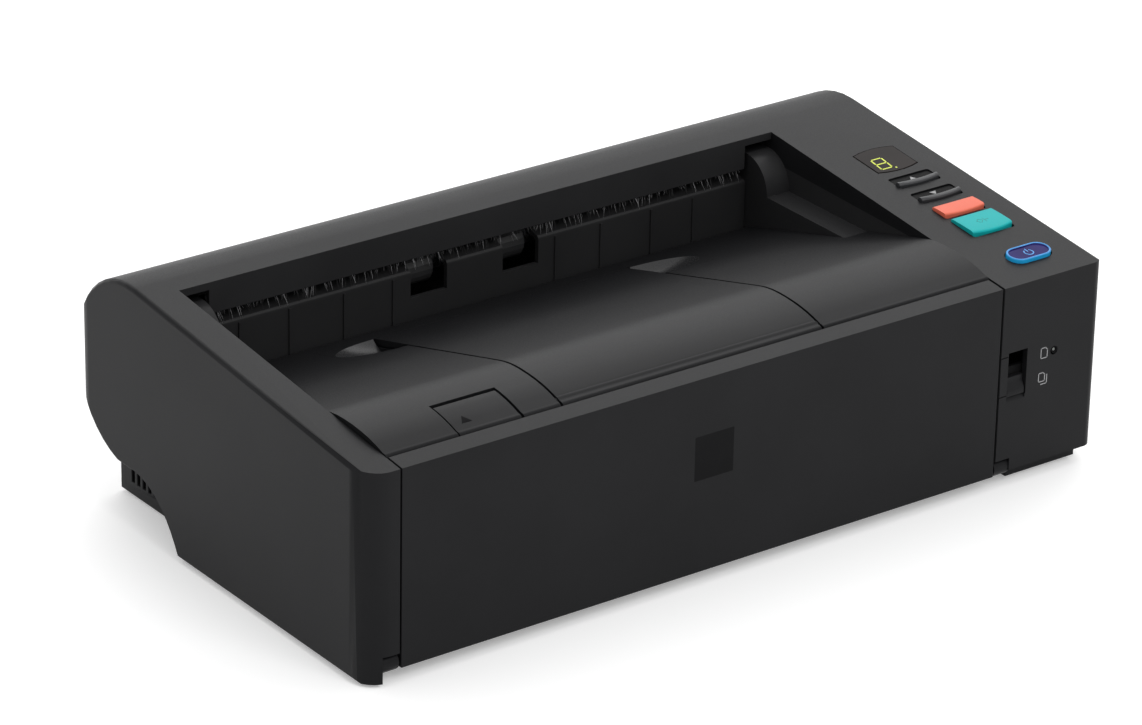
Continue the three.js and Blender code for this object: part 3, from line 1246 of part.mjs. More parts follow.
function coverGuide() {
  const z0 = PATH_HEIGHT + PATH_CLEARANCE;
  const z1 = z0 + GUIDE_THICKNESS;
  const front = COVER_FRONT + OVERHANG_DEPTH;
  const bend = front + COVER_CHIN_RUN;
  const rise = COVER_CHIN - COVER_BOTTOM;
  const plate = prismX(
    outline([
      [front, z0 + rise],
      [bend, z0],
      [COVER_AXIS_Y - GUIDE_THICKNESS, z0],
      [COVER_AXIS_Y - GUIDE_THICKNESS, z1],
      [bend, z1],
      [front, z1 + rise],
    ]),
    COVER_REAR_LEFT,
    COVER_REAR_RIGHT,
  );
  const half = RETARD_WIDTH / 2 + GAP + GAP;
  const ear = (x) =>
    block([x, x + RETARD_EAR], [FEED_Y - RETARD_EAR_HEIGHT / 2, FEED_Y + RETARD_EAR_HEIGHT / 2], [z0 + GAP, z1 + RETARD_EAR_HEIGHT]);
  const low = z0 - CUT_OVERRUN;
  const high = z1 + CUT_OVERRUN;
  return cut(joined([plate, ear(PATH_CENTRE - half - RETARD_EAR), ear(PATH_CENTRE + half)]), [
    rollerWindow(PATH_CENTRE, FEED_Y, RETARD_WIDTH, low, high),
    sensorWindow(UPPER_SENSOR_Y, low, high),
    rodX(FEED_Y, RETARD_Z, RETARD_SHAFT_RADIUS + GAP, PATH_CENTRE - CASE_DEPTH / 4, PATH_CENTRE + CASE_DEPTH / 4),
  ]);
}

const RETARD_WIDTH = FEED_ROLLER_WIDTH - 2 * RETARD_EAR / 2 - GAP;

// Front panel: the outside of the closed scanner, the feed tray when it is folded down
function frontPanel() {
  const innerLeft = COVER_LEFT + WALL;
  const innerRight = COVER_RIGHT - WALL;
  const stripBottom = topHeight(0) - PANEL_STRIP;
  const slab = prismX(
    outline([
      [0, PANEL_BOTTOM],
      [PANEL_THICKNESS, PANEL_BOTTOM],
      [PANEL_THICKNESS, topHeight(PANEL_THICKNESS)],
      [0, topHeight(0)],
    ]),
    COVER_LEFT,
    COVER_RIGHT,
  );
  const hollow = block([innerLeft, innerRight], [WALL, PANEL_THICKNESS + CUT_OVERRUN], [TRAY_BOTTOM - GAP, stripBottom]);
  const pin = (x0, x1) => rodX(PANEL_AXIS_Y, PANEL_AXIS_Z, PANEL_PIN_RADIUS, x0, x1, 16);
  return joined([
    slab.subtract(hollow),
    pin(COVER_LEFT - PANEL_PIN_LENGTH, COVER_LEFT + GAP),
    pin(COVER_RIGHT - GAP, COVER_RIGHT + PANEL_PIN_LENGTH),
    rodY(PATH_CENTRE, RACK_PINION_Z, RACK_PIN_RADIUS, WALL - GAP, WALL + GAP + RACK_THICKNESS),
  ]);
}

const RACK_FRONT = WALL + GAP;
const RACK_REAR = RACK_FRONT + RACK_THICKNESS;
const STEM_OFFSET = RACK_RADIUS + DEDENDUM_SHARE * GEAR_MODULE;
const FENCE_OFFSET = PAPER_WIDTH / 2;
const RACK_LENGTH = FENCE_OFFSET + GUIDE_FENCE - RACK_BACK + RACK_OVERLAP + 2 * RACK_BACK;
const TRAY_FRONT = PANEL_THICKNESS - TRAY_THICKNESS;

function trayPlate() {
  const low = TRAY_FRONT - CUT_OVERRUN;
  const high = PANEL_THICKNESS + CUT_OVERRUN;
  const plate = block(
    [COVER_LEFT + WALL + GAP, COVER_RIGHT - WALL - GAP],
    [TRAY_FRONT, PANEL_THICKNESS],
    [TRAY_BOTTOM, topHeight(0) - PANEL_STRIP - GAP],
  );
  const reach = GUIDE_TRAVEL + GAP;
  const leftStem = PATH_CENTRE - FENCE_OFFSET - GUIDE_FENCE;
  const rightStem = PATH_CENTRE + FENCE_OFFSET + GUIDE_FENCE;
  const upper = RACK_PINION_Z + STEM_OFFSET;
  const lower = RACK_PINION_Z - STEM_OFFSET;
  return cut(plate, [
    block([leftStem - GAP, leftStem + GUIDE_FOOT_WIDTH + reach], [low, high], [upper - GAP, upper + RACK_BACK + GAP]),
    block([rightStem - GUIDE_FOOT_WIDTH - reach, rightStem + GAP], [low, high], [lower - RACK_BACK - GAP, lower + GAP]),
  ]);
}

function documentGuide(side) {
  const outer = PATH_CENTRE + side * (FENCE_OFFSET + GUIDE_FENCE);
  const inner = PATH_CENTRE + side * FENCE_OFFSET;
  const footEnd = outer - side * GUIDE_FOOT_WIDTH;
  const span = (a, b) => [Math.min(a, b), Math.max(a, b)];
  const stemZ = RACK_PINION_Z - side * STEM_OFFSET;
  const foot0 = PANEL_THICKNESS + GAP;
  const rackLeft = side < 0 ? outer - RACK_BACK : outer + RACK_BACK - RACK_LENGTH;
  const rack = prismY(
    rackOutline(rackLeft, RACK_LENGTH, RACK_PINION_Z - side * RACK_RADIUS, side),
    RACK_FRONT,
    RACK_REAR,
  );
  return joined([
    block(span(outer, inner), [foot0, foot0 + GUIDE_FENCE_HEIGHT], [GUIDE_BOTTOM, GUIDE_TOP]),
    block(span(outer, footEnd), [foot0, foot0 + GUIDE_FOOT], [GUIDE_BOTTOM, GUIDE_TOP]),
    block(span(outer, footEnd), [RACK_REAR - GAP, foot0 + GAP], span(stemZ, stemZ - side * RACK_BACK)),
    rack,
  ]);
}

function button({ place: at }) {
  const [a0, a1, b0, b1] = at;
  const cap = new THREE.ExtrudeGeometry(grown(at, 0), {
    depth: WALL + BUTTON_PROUD - 2 * BUTTON_ROUND,
    bevelEnabled: true,
    bevelThickness: BUTTON_ROUND,
    bevelSize: BUTTON_ROUND,
    bevelOffset: -BUTTON_ROUND,
    bevelSegments: 1,
    curveSegments: 2,
  });
  cap.applyMatrix4(new THREE.Matrix4().makeTranslation(0, 0, BUTTON_ROUND - WALL));
  const flangeTop = -WALL - GAP;
  const flange = prismZ(grown(at, BUTTON_FLANGE - GAP / 2), flangeTop - BUTTON_FLANGE, flangeTop, 1);
  const neck = prismZ(grown(at, -BUTTON_ROUND - GAP), flangeTop - GAP, GAP - WALL, 1);
  const stem = rodZ((a0 + a1) / 2, (b0 + b1) / 2, BUTTON_STEM / 2, BUTTON_TRAVEL + GAP - BOARD_DEPTH, flangeTop - GAP, 8);
  return joined([solidFrom(cap), neck, flange, stem]);
}

function displayWindow() {
  const flangeTop = -WALL - GAP;
  return joined([
    prismZ(displayOutline(0), flangeTop - GAP, GAP / 2, 5),
    prismZ(displayOutline(BUTTON_FLANGE), flangeTop - DISPLAY_THICKNESS, flangeTop, 5),
  ]);
}

function controlBoard() {
  return block(
    [PLATE_RIGHT + WALL, CASE_WIDTH - 2 * WALL],
    [BOARD_FRONT, BOARD_REAR],
    [-BOARD_DEPTH - BOARD_THICKNESS, -BOARD_DEPTH],
  );
}

function modeLever() {
  const knobBottom = SLOT_BOTTOM + GAP;
  const knobTop = knobBottom + SLOT_KNOB_HEIGHT;
  const ridge = SLOT_KNOB_HEIGHT / 3;
  const knob = prismX(
    outline([
      [GAP, knobBottom],
      [WALL + 2 * GAP, knobBottom],
      [WALL + 2 * GAP, knobTop],
      [GAP + ridge / 2, knobTop],
      [GAP + ridge / 2, knobBottom + 2 * ridge],
      [GAP, knobBottom + ridge],
    ]),
    SLOT_LEFT + GAP,
    SLOT_LEFT + SLOT_WIDTH - GAP,
  );
  const slider = block(
    [PLATE_RIGHT + GAP, PLATE_RIGHT + GAP + SLIDER_WIDTH],
    [WALL + GAP, WALL + GAP + SLIDER_THICKNESS],
    [knobBottom - SLIDER_MARGIN, knobTop + SLIDER_MARGIN],
  );
  return knob.add(slider);
}

function indicatorLens() {
  return rodY(LENS_X, LENS_Z, LENS_RADIUS, GAP, WALL + 2 * GAP, 12).add(
    rodY(LENS_X, LENS_Z, 2 * LENS_RADIUS, WALL + GAP, WALL + GAP + LENS_RADIUS, 12),
  );
}

// Brush over the exit slot: tufts of tapered strands hanging from a backing strip
function antistaticBrush() {
  const backFront = RAIL_FRONT + LIP_THICKNESS + GAP;
  const left = BAY_LEFT + LIP_END_LENGTH + GAP;
  const right = BAY_RIGHT - LIP_END_LENGTH - GAP;
  const backing = block([left, right], [backFront, backFront + BRUSH_BACK_DEPTH], [BRUSH_ROOT, BRUSH_ROOT + BRUSH_BACK_HEIGHT]);
  const pitch = (right - left - 2 * BRUSH_END) / (BRUSH_TUFTS - 1);
  const strands = [];
  for (let i = 0; i < BRUSH_TUFTS; i++) {
    const lean = BRUSH_LEAN * Math.sin(i * BRUSH_TURN);
    for (let k = 0; k < BRUSH_STRANDS; k++) {
      const place = k - (BRUSH_STRANDS - 1) / 2;
      const x = left + BRUSH_END + i * pitch + place * BRUSH_ROOT_PITCH;
      const tipX = x + lean + place * BRUSH_FAN;
      strands.push(strand(x, backFront + BRUSH_BACK_DEPTH / 4, tipX));
    }
  }
  return joined([backing, wasm.Manifold.union(strands)]);
}

const BRUSH_BACK_DEPTH = 2.2;
const BRUSH_BACK_HEIGHT = 4;
const BRUSH_ROOT = 80.3;
const BRUSH_LENGTH = 5.8;
const BRUSH_FORWARD = 0.9;
const BRUSH_TUFTS = 76;
const BRUSH_STRANDS = 4;
const BRUSH_END = 3;
const BRUSH_ROOT_PITCH = 0.5;
const BRUSH_FAN = 0.12;
const BRUSH_LEAN = 0.8;
const BRUSH_TURN = 2.4;
const STRAND_RADIUS = 0.2;

function strand(x, y, tipX) {
  const geometry = new THREE.ConeGeometry(STRAND_RADIUS, BRUSH_LENGTH + GAP, 3);
  geometry.rotateX(Math.PI / 2);
  geometry.scale(1, 1, -1);
  const solid = new THREE.BufferGeometry();
  const flat = geometry.toNonIndexed();
  const p = flat.attributes.position.array;
  for (let i = 0; i < p.length; i += 9) {
    for (let k = 0; k < 3; k++) {
      [p[i + 3 + k], p[i + 6 + k]] = [p[i + 6 + k], p[i + 3 + k]];
    }
  }
  solid.setAttribute("position", flat.attributes.position);
  const shear = new THREE.Matrix4().makeShear(0, 0, 0, 0, (x - tipX) / BRUSH_LENGTH, BRUSH_FORWARD / BRUSH_LENGTH);
  const drop = (BRUSH_LENGTH + GAP) / 2;
  const move = new THREE.Matrix4().makeTranslation(x, y, BRUSH_ROOT + GAP);
  const hang = new THREE.Matrix4().makeTranslation(0, 0, -drop);
  return solidFrom(solid.applyMatrix4(hang).applyMatrix4(shear).applyMatrix4(move));
}

function usbPort() {
  const y0 = BASE_REAR - PORT_DEPTH;
  const shell = block([USB_LEFT, USB_LEFT + USB_WIDTH], [y0, BASE_REAR], [PORT_BOTTOM, PORT_BOTTOM + USB_HEIGHT]);
  const m = USB_MOUTH_MARGIN;
  const mouth = block(
    [USB_LEFT + m, USB_LEFT + USB_WIDTH - m],
    [BASE_REAR - PORT_BORE_DEPTH, BASE_REAR + CUT_OVERRUN],
    [PORT_BOTTOM + m, PORT_BOTTOM + USB_HEIGHT - m],
  );
  const middle = PORT_BOTTOM + USB_HEIGHT / 2;
  const tongueHalf = USB_WIDTH / 2 - m - USB_TONGUE / 2;
  const tongue = block(
    [USB_LEFT + USB_WIDTH / 2 - tongueHalf, USB_LEFT + USB_WIDTH / 2 + tongueHalf],
    [BASE_REAR - PORT_BORE_DEPTH - GAP, BASE_REAR - GAP],
    [middle - USB_TONGUE / 2, middle + USB_TONGUE / 2],
  );
  return shell.subtract(mouth).add(tongue);
}

function powerInlet() {
  const y0 = BASE_REAR - PORT_DEPTH;
  const x = INLET_LEFT + INLET_WIDTH / 2;
  const z = PORT_BOTTOM + INLET_HEIGHT / 2;
  const floor = BASE_REAR - PORT_BORE_DEPTH;
  const shell = block([INLET_LEFT, INLET_LEFT + INLET_WIDTH], [y0, BASE_REAR], [PORT_BOTTOM, PORT_BOTTOM + INLET_HEIGHT]);
  return shell
    .subtract(rodY(x, z, INLET_BORE_RADIUS, floor, BASE_REAR + CUT_OVERRUN, 20))
    .add(rodY(x, z, INLET_PIN_RADIUS, floor - GAP, BASE_REAR - GAP, 10));
}

function mainBoard() {
  return block(
    [MAIN_BOARD_LEFT, MAIN_BOARD_LEFT + MAIN_BOARD_WIDTH],
    [MAIN_BOARD_FRONT, BASE_REAR - WALL - GAP],
    [MAIN_BOARD_HEIGHT, MAIN_BOARD_HEIGHT + BOARD_THICKNESS],
  );
}

// Housing
place("main_casing", mainCasing(), "casing");
place("base_tray", baseTray(), "casing");
FOOT_PLACES.forEach(({ name, x, y }) => place(name, foot(), "rubber").position.set(x, y, 0));
place("lower_guide", lowerGuide(), "inner");
place("turn_guide", turnGuide(), "inner");
place("outer_guide", outerGuide(), "inner");
place("antistatic_brush", antistaticBrush(), "bristle");
place("control_board", controlBoard(), "board", controls);
place("display_window", displayWindow(), "window", controls);
BUTTONS.forEach((spec) => place(spec.name, button(spec), spec.finish, controls));
place("feed_mode_lever", modeLever(), "inner");
place("indicator_lens", indicatorLens(), "window");
place("main_board", mainBoard(), "board");
place("usb_port", usbPort(), "port");
place("power_inlet", powerInlet(), "inner");

// Sensors
function sensorBody(y, z) {
  const half = SENSOR_LENGTH / 2;
  return block([PATH_CENTRE - half, PATH_CENTRE + half], [y, y + SENSOR_WIDTH], [z, z + SENSOR_HEIGHT]);
}

function sensorGlass(y, z) {
  const half = SENSOR_LENGTH / 2;
  return block([PATH_CENTRE - half, PATH_CENTRE + half], [y, y + SENSOR_WIDTH], [z, z + GLASS_THICKNESS]);
}

const LOWER_GLASS_Z = PATH_HEIGHT - GLASS_THICKNESS;
const UPPER_GLASS_Z = PATH_HEIGHT + PATH_CLEARANCE;
place("lower_glass", sensorGlass(LOWER_SENSOR_Y, LOWER_GLASS_Z), "glass");
place("lower_sensor", sensorBody(LOWER_SENSOR_Y, LOWER_GLASS_Z - GAP - SENSOR_HEIGHT), "inner");

// Shafts and rollers
const SHAFT_RIGHT_END = BELT_RIGHT + GAP;

function shaft(name, y, z, right, radius = SHAFT_RADIUS, left = SHAFT_LEFT_END, parent = drawing) {
  const mesh = place(name, rodX(0, 0, radius, 0, right - left), "steel", parent);
  mesh.position.set(left, y, z);
}

function roller(name, x, y, z, radius, width, bore, parent = drawing) {
  const mesh = place(name, tube(radius, bore, width, ROLLER_CHAMFER), "rubber", parent);
  mesh.position.set(x - width / 2, y, z);
}

const SHAFT_BORE = SHAFT_RADIUS + GAP;
shaft("eject_shaft", EJECT_Y, EJECT_Z, SHAFT_RIGHT_END);
roller("eject_roller_left", PATH_CENTRE - WINDOW_OFFSET, EJECT_Y, EJECT_Z, EJECT_ROLLER_RADIUS, EJECT_ROLLER_WIDTH, SHAFT_BORE);
roller("eject_roller_right", PATH_CENTRE + WINDOW_OFFSET, EJECT_Y, EJECT_Z, EJECT_ROLLER_RADIUS, EJECT_ROLLER_WIDTH, SHAFT_BORE);
shaft("drive_shaft", DRIVE_Y, DRIVE_Z, SHAFT_RIGHT_END);
roller("drive_roller_left", PATH_CENTRE - DRIVE_ROLLER_OFFSET, DRIVE_Y, DRIVE_Z, DRIVE_ROLLER_RADIUS, DRIVE_ROLLER_WIDTH, SHAFT_BORE);
roller("drive_roller_right", PATH_CENTRE + DRIVE_ROLLER_OFFSET, DRIVE_Y, DRIVE_Z, DRIVE_ROLLER_RADIUS, DRIVE_ROLLER_WIDTH, SHAFT_BORE);
shaft("feed_shaft", FEED_Y, DRIVE_Z, GEAR_RIGHT + GAP);
roller("feed_roller", PATH_CENTRE, FEED_Y, DRIVE_Z, DRIVE_ROLLER_RADIUS, FEED_ROLLER_WIDTH, SHAFT_BORE);
[
  { name: "eject_bush", y: EJECT_Y, z: EJECT_Z },
  { name: "drive_bush", y: DRIVE_Y, z: DRIVE_Z },
].forEach(({ name, y, z }) => {
  place(name + "_left", bush(y, z, false), "brass").position.set(BAY_LEFT - WALL, y, z);
  place(name + "_right", bush(y, z, true), "brass").position.set(BAY_RIGHT + WALL, y, z);
});

// Gear train, belt and motor
const DRIVE_PHASE = 0;
const IDLER_PHASE = meshedAngle(DRIVE_PHASE, GEAR_TEETH, GEAR_TEETH, Math.PI);
const FEED_PHASE = meshedAngle(IDLER_PHASE, GEAR_TEETH, GEAR_TEETH, Math.PI);
const PINION_PHASE = meshedAngle(DRIVE_PHASE, GEAR_TEETH, PINION_TEETH, PINION_ANGLE);
place("drive_gear", gearX(DRIVE_Y, DRIVE_Z, GEAR_TEETH, DRIVE_PHASE, SHAFT_BORE), "gear");
place("idler_gear", gearX(IDLER_Y, DRIVE_Z, GEAR_TEETH, IDLER_PHASE, IDLER_PIN_RADIUS + HINGE_CLEARANCE), "gear");
place("feed_gear", gearX(FEED_Y, DRIVE_Z, GEAR_TEETH, FEED_PHASE, SHAFT_BORE), "gear");
place(
  "motor_pinion",
  gearX(PINION_Y, PINION_Z, PINION_TEETH, PINION_PHASE, 0).add(
    rodX(PINION_Y, PINION_Z, MOTOR_SHAFT_RADIUS, GEAR_LEFT, BRACKET_LEFT + BRACKET_THICKNESS, 16),
  ),
  "brass",
);
place("drive_pulley", tube(PULLEY_RADIUS, SHAFT_BORE, BELT_WIDTH), "gear").position.set(BELT_LEFT, DRIVE_Y, DRIVE_Z);
place("eject_pulley", tube(PULLEY_RADIUS, SHAFT_BORE, BELT_WIDTH), "gear").position.set(BELT_LEFT, EJECT_Y, EJECT_Z);
place("drive_belt", driveBelt(), "rubber");
place("drive_bracket", driveBracket(), "steel");
place(
  "drive_motor",
  rodX(0, 0, MOTOR_RADIUS, 0, MOTOR_LENGTH).add(rodX(0, 0, MOTOR_RADIUS / 2, MOTOR_LENGTH - GAP, MOTOR_LENGTH + WALL)),
  "motor",
).position.set(MOTOR_LEFT, PINION_Y, PINION_Z);

// Front cover and what it carries
place("front_cover", frontCover(), "casing");
place("cover_guide", coverGuide(), "inner");
place("upper_glass", sensorGlass(UPPER_SENSOR_Y, UPPER_GLASS_Z), "glass");
place("upper_sensor", sensorBody(UPPER_SENSOR_Y, UPPER_GLASS_Z + GLASS_THICKNESS + GAP), "inner");
place("eject_flap", ejectFlap(), "casing");
place("open_lever", openLever(), "casing");
const RETARD_REACH = RETARD_WIDTH / 2 + GAP + GAP + RETARD_EAR + GAP;
shaft("retard_shaft", FEED_Y, RETARD_Z, PATH_CENTRE + RETARD_REACH, RETARD_SHAFT_RADIUS, PATH_CENTRE - RETARD_REACH);
roller("retard_roller", PATH_CENTRE, FEED_Y, RETARD_Z, RETARD_RADIUS, RETARD_WIDTH, RETARD_SHAFT_RADIUS + GAP);

// Front panel and what it carries
place("front_panel", frontPanel(), "casing");
place("tray_plate", trayPlate(), "casing");
place("guide_left", documentGuide(-1), "inner");
place("guide_right", documentGuide(1), "inner");
place(
  "guide_pinion",
  prismY(
    gearOutline(PATH_CENTRE, RACK_PINION_Z, PINION_TEETH, Math.PI / 2, RACK_PIN_RADIUS + HINGE_CLEARANCE),
    RACK_FRONT,
    RACK_REAR,
  ),
  "gear",
);

export default scanner;
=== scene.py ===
import json
import math
import random
from collections import namedtuple

import bmesh
import bpy
from mathutils import Matrix, Vector
from mathutils.bvhtree import BVHTree

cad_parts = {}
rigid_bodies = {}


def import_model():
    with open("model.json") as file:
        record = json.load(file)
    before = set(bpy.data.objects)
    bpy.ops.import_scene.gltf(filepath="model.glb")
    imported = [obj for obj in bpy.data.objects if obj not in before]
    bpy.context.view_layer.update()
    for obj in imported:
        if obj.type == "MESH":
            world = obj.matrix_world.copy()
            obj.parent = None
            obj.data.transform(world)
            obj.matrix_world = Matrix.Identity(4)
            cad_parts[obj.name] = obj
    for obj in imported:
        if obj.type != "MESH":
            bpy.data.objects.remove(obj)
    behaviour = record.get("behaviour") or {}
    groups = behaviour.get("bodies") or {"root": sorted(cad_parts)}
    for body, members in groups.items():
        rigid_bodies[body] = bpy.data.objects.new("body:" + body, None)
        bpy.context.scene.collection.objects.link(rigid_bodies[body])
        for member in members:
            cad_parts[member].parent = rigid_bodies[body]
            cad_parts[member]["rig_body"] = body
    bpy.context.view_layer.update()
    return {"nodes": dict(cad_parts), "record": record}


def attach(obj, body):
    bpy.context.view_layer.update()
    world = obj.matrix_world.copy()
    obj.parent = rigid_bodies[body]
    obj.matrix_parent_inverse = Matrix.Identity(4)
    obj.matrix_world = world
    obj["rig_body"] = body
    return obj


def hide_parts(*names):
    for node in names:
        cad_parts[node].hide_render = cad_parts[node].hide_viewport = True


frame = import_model()
NODES = frame["nodes"]
BODY_OF = {node: o["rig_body"] for node, o in NODES.items()}

# The part's drawing frame, in millimetres from the left side, the front face and the underside
CASE_WIDTH = 313
CASE_DEPTH = 179
FOOT_STAND = 1.2
FRONT_HEIGHT = 76.5
TOP_RISE_SHARE = 0.105
TOP_ANGLE = math.atan(TOP_RISE_SHARE)
MM = 0.001


def at(x, y, z):
    """A point of the drawing frame, in the row frame and in metres."""
    return Vector((x - CASE_WIDTH / 2, y - CASE_DEPTH / 2, z + FOOT_STAND)) * MM


def on_controls(a, b, c):
    """Control surface: a to the right, b up its slope from the front edge, c out of it."""
    return at(
        a,
        b * math.cos(TOP_ANGLE) - c * math.sin(TOP_ANGLE),
        FRONT_HEIGHT + b * math.sin(TOP_ANGLE) + c * math.cos(TOP_ANGLE),
    )


def on_front(a, b, c):
    """Front face: a to the right, b up, c out of it."""
    return at(a, -c, b)


def on_underside(a, b, c):
    """Underside: a to the right, b to the rear, c out of it."""
    return at(a, b, -c)


def up_slope(y):
    return y / math.cos(TOP_ANGLE)


# Camera, at the angle of the photograph
PHOTO_WIDTH = 1142
PHOTO_HEIGHT = 725
FOCAL_PIXELS = 5216.1
CENTRE_PIXEL = (573.6, 365.5)
CAMERA_AZIMUTH = math.radians(-36.69)
CAMERA_ELEVATION = math.radians(24.79)
CAMERA_ROLL = math.radians(1.13)
CAMERA_DISTANCE = 1.7812
CAMERA_TARGET = at(126.25, 60, 60.88)
SENSOR_WIDTH = 36
CLIP_NEAR = 0.05
CLIP_FAR = 50


def make_camera():
    data = bpy.data.cameras.new("camera")
    data.sensor_width = SENSOR_WIDTH
    data.lens = FOCAL_PIXELS / PHOTO_WIDTH * SENSOR_WIDTH
    data.shift_x = (PHOTO_WIDTH / 2 - CENTRE_PIXEL[0]) / PHOTO_WIDTH
    data.shift_y = (CENTRE_PIXEL[1] - PHOTO_HEIGHT / 2) / PHOTO_WIDTH
    data.clip_start = CLIP_NEAR
    data.clip_end = CLIP_FAR
    camera = bpy.data.objects.new("camera", data)
    bpy.context.scene.collection.objects.link(camera)
    back = Vector(
        (
            math.sin(CAMERA_AZIMUTH) * math.cos(CAMERA_ELEVATION),
            -math.cos(CAMERA_AZIMUTH) * math.cos(CAMERA_ELEVATION),
            math.sin(CAMERA_ELEVATION),
        )
    )
    right = (-back).cross(Vector((0, 0, 1))).normalized()
    up = right.cross(-back)
    turn = Matrix((right, up, back)).transposed()
    camera.matrix_world = (
        Matrix.Translation(CAMERA_TARGET + back * CAMERA_DISTANCE)
        @ (turn @ Matrix.Rotation(CAMERA_ROLL, 3, "Z")).to_4x4()
    )
    bpy.context.scene.camera = camera


make_camera()


# Materials. A grain is a fine noise: its scale, and the height in metres and strength of its bump
Grain = namedtuple("Grain", "scale depth strength")
CASING_GRAIN = Grain(2300, 0.00005, 0.3)
POLISHED_GRAIN = Grain(2300, 0.00003, 0.2)
INNER_GRAIN = Grain(1500, 0.00003, 0.15)
LIP_GRAIN = Grain(1800, 0.00002, 0.12)
BUTTON_GRAIN = Grain(1800, 0.00002, 0.1)
GEAR_GRAIN = Grain(1200, 0.00002, 0.1)
RUBBER_GRAIN = Grain(1400, 0.00005, 0.3)
HAIR_GRAIN = Grain(3000, 0.00001, 0.1)
BOARD_GRAIN = Grain(700, 0.00002, 0.1)
PRINT_GRAIN = Grain(2000, 0.00001, 0.1)
METAL_GRAIN = Grain(900, 0.00002, 0.25)
PLASTIC_PATCHES = 22
GLOSS_PATCHES = 60
GLOSS_SPREAD = 0.15
GLASS_SMEARS = 90
GLOW_PATCHES = 400
GLOW_SPREAD = 0.1
RAMP_START = 0.35
RAMP_END = 0.65
GLASS_SHADES = ((0.50, 0.57, 0.57), (0.53, 0.60, 0.60))
GLASS_ROUGHNESS = (0.01, 0.04)
GLASS_TRANSMISSION = 0.85
GLASS_INDEX = 1.5


def new_material(name):
    material = bpy.data.materials.new(name)
    material.use_nodes = True
    nodes = material.node_tree.nodes
    nodes.clear()
    output = nodes.new("ShaderNodeOutputMaterial")
    shader = nodes.new("ShaderNodeBsdfPrincipled")
    material.node_tree.links.new(shader.outputs["BSDF"], output.inputs["Surface"])
    return material, nodes, material.node_tree.links, shader


def noise(nodes, links, scale, detail, roughness=0.55, stretch=None):
    coordinates = nodes.new("ShaderNodeTexCoord")
    texture = nodes.new("ShaderNodeTexNoise")
    texture.inputs["Scale"].default_value = scale
    texture.inputs["Detail"].default_value = detail
    texture.inputs["Roughness"].default_value = roughness
    source = coordinates.outputs["Object"]
    if stretch:
        mapping = nodes.new("ShaderNodeMapping")
        mapping.inputs["Scale"].default_value = stretch
        links.new(source, mapping.inputs["Vector"])
        source = mapping.outputs["Vector"]
    links.new(source, texture.inputs["Vector"])
    return texture.outputs["Fac"]


def ranged(nodes, links, source, low, high, start=0.3, end=0.7):
    node = nodes.new("ShaderNodeMapRange")
    node.inputs["From Min"].default_value = start
    node.inputs["From Max"].default_value = end
    node.inputs["To Min"].default_value = low
    node.inputs["To Max"].default_value = high
    links.new(source, node.inputs["Value"])
    return node.outputs["Result"]


def ramp(nodes, links, source, dark, light):
    node = nodes.new("ShaderNodeValToRGB")
    first, last = node.color_ramp.elements
    first.position, last.position = RAMP_START, RAMP_END
    first.color, last.color = (*dark, 1), (*light, 1)
    links.new(source, node.inputs["Fac"])
    return node.outputs["Color"]


def bumped(nodes, links, shader, source, grain):
    node = nodes.new("ShaderNodeBump")
    node.inputs["Distance"].default_value = grain.depth
    node.inputs["Strength"].default_value = grain.strength
    links.new(source, node.inputs["Height"])
    links.new(node.outputs["Normal"], shader.inputs["Normal"])


def shades(colour, spread):
    """A slightly darker and a slightly lighter shade of a colour."""
    return tuple(c * (1 - spread) for c in colour), tuple(c * (1 + spread) for c in colour)


def plastic(name, colour, rough, grain, specular, spread=0.1):
    """Moulded plastic: a fine spark-eroded grain, slightly uneven in colour and gloss."""
    material, nodes, links, shader = new_material(name)
    broad = noise(nodes, links, PLASTIC_PATCHES, detail=4)
    fine = noise(nodes, links, grain.scale, detail=2, roughness=0.6)
    links.new(ramp(nodes, links, broad, *shades(colour, spread)), shader.inputs["Base Color"])
    links.new(ranged(nodes, links, fine, *rough), shader.inputs["Roughness"])
    shader.inputs["Specular IOR Level"].default_value = specular
    bumped(nodes, links, shader, fine, grain)
    return material


def metal(name, dark, light, rough, stretch):
    material, nodes, links, shader = new_material(name)
    lines = noise(nodes, links, METAL_GRAIN.scale, detail=3, roughness=0.6, stretch=stretch)
    shader.inputs["Metallic"].default_value = 1
    links.new(ramp(nodes, links, lines, dark, light), shader.inputs["Base Color"])
    links.new(ranged(nodes, links, lines, *rough), shader.inputs["Roughness"])
    bumped(nodes, links, shader, lines, METAL_GRAIN)
    return material


def clear_gloss(name, colour, roughness, specular):
    material, nodes, links, shader = new_material(name)
    broad = noise(nodes, links, GLOSS_PATCHES, detail=2)
    links.new(ramp(nodes, links, broad, *shades(colour, GLOSS_SPREAD)), shader.inputs["Base Color"])
    links.new(ranged(nodes, links, broad, *roughness), shader.inputs["Roughness"])
    shader.inputs["Specular IOR Level"].default_value = specular
    return material


def glass():
    material, nodes, links, shader = new_material("sensor_glass")
    smear = noise(nodes, links, GLASS_SMEARS, detail=3)
    links.new(ranged(nodes, links, smear, *GLASS_ROUGHNESS), shader.inputs["Roughness"])
    links.new(ramp(nodes, links, smear, *GLASS_SHADES), shader.inputs["Base Color"])
    shader.inputs["Transmission Weight"].default_value = GLASS_TRANSMISSION
    shader.inputs["IOR"].default_value = GLASS_INDEX
    return material


def glowing(name, colour, strength):
    material, nodes, links, shader = new_material(name)
    waver = noise(nodes, links, GLOW_PATCHES, detail=2)
    tint = ramp(nodes, links, waver, *shades(colour, GLOW_SPREAD))
    links.new(tint, shader.inputs["Base Color"])
    links.new(tint, shader.inputs["Emission Color"])
    shader.inputs["Emission Strength"].default_value = strength
    return material


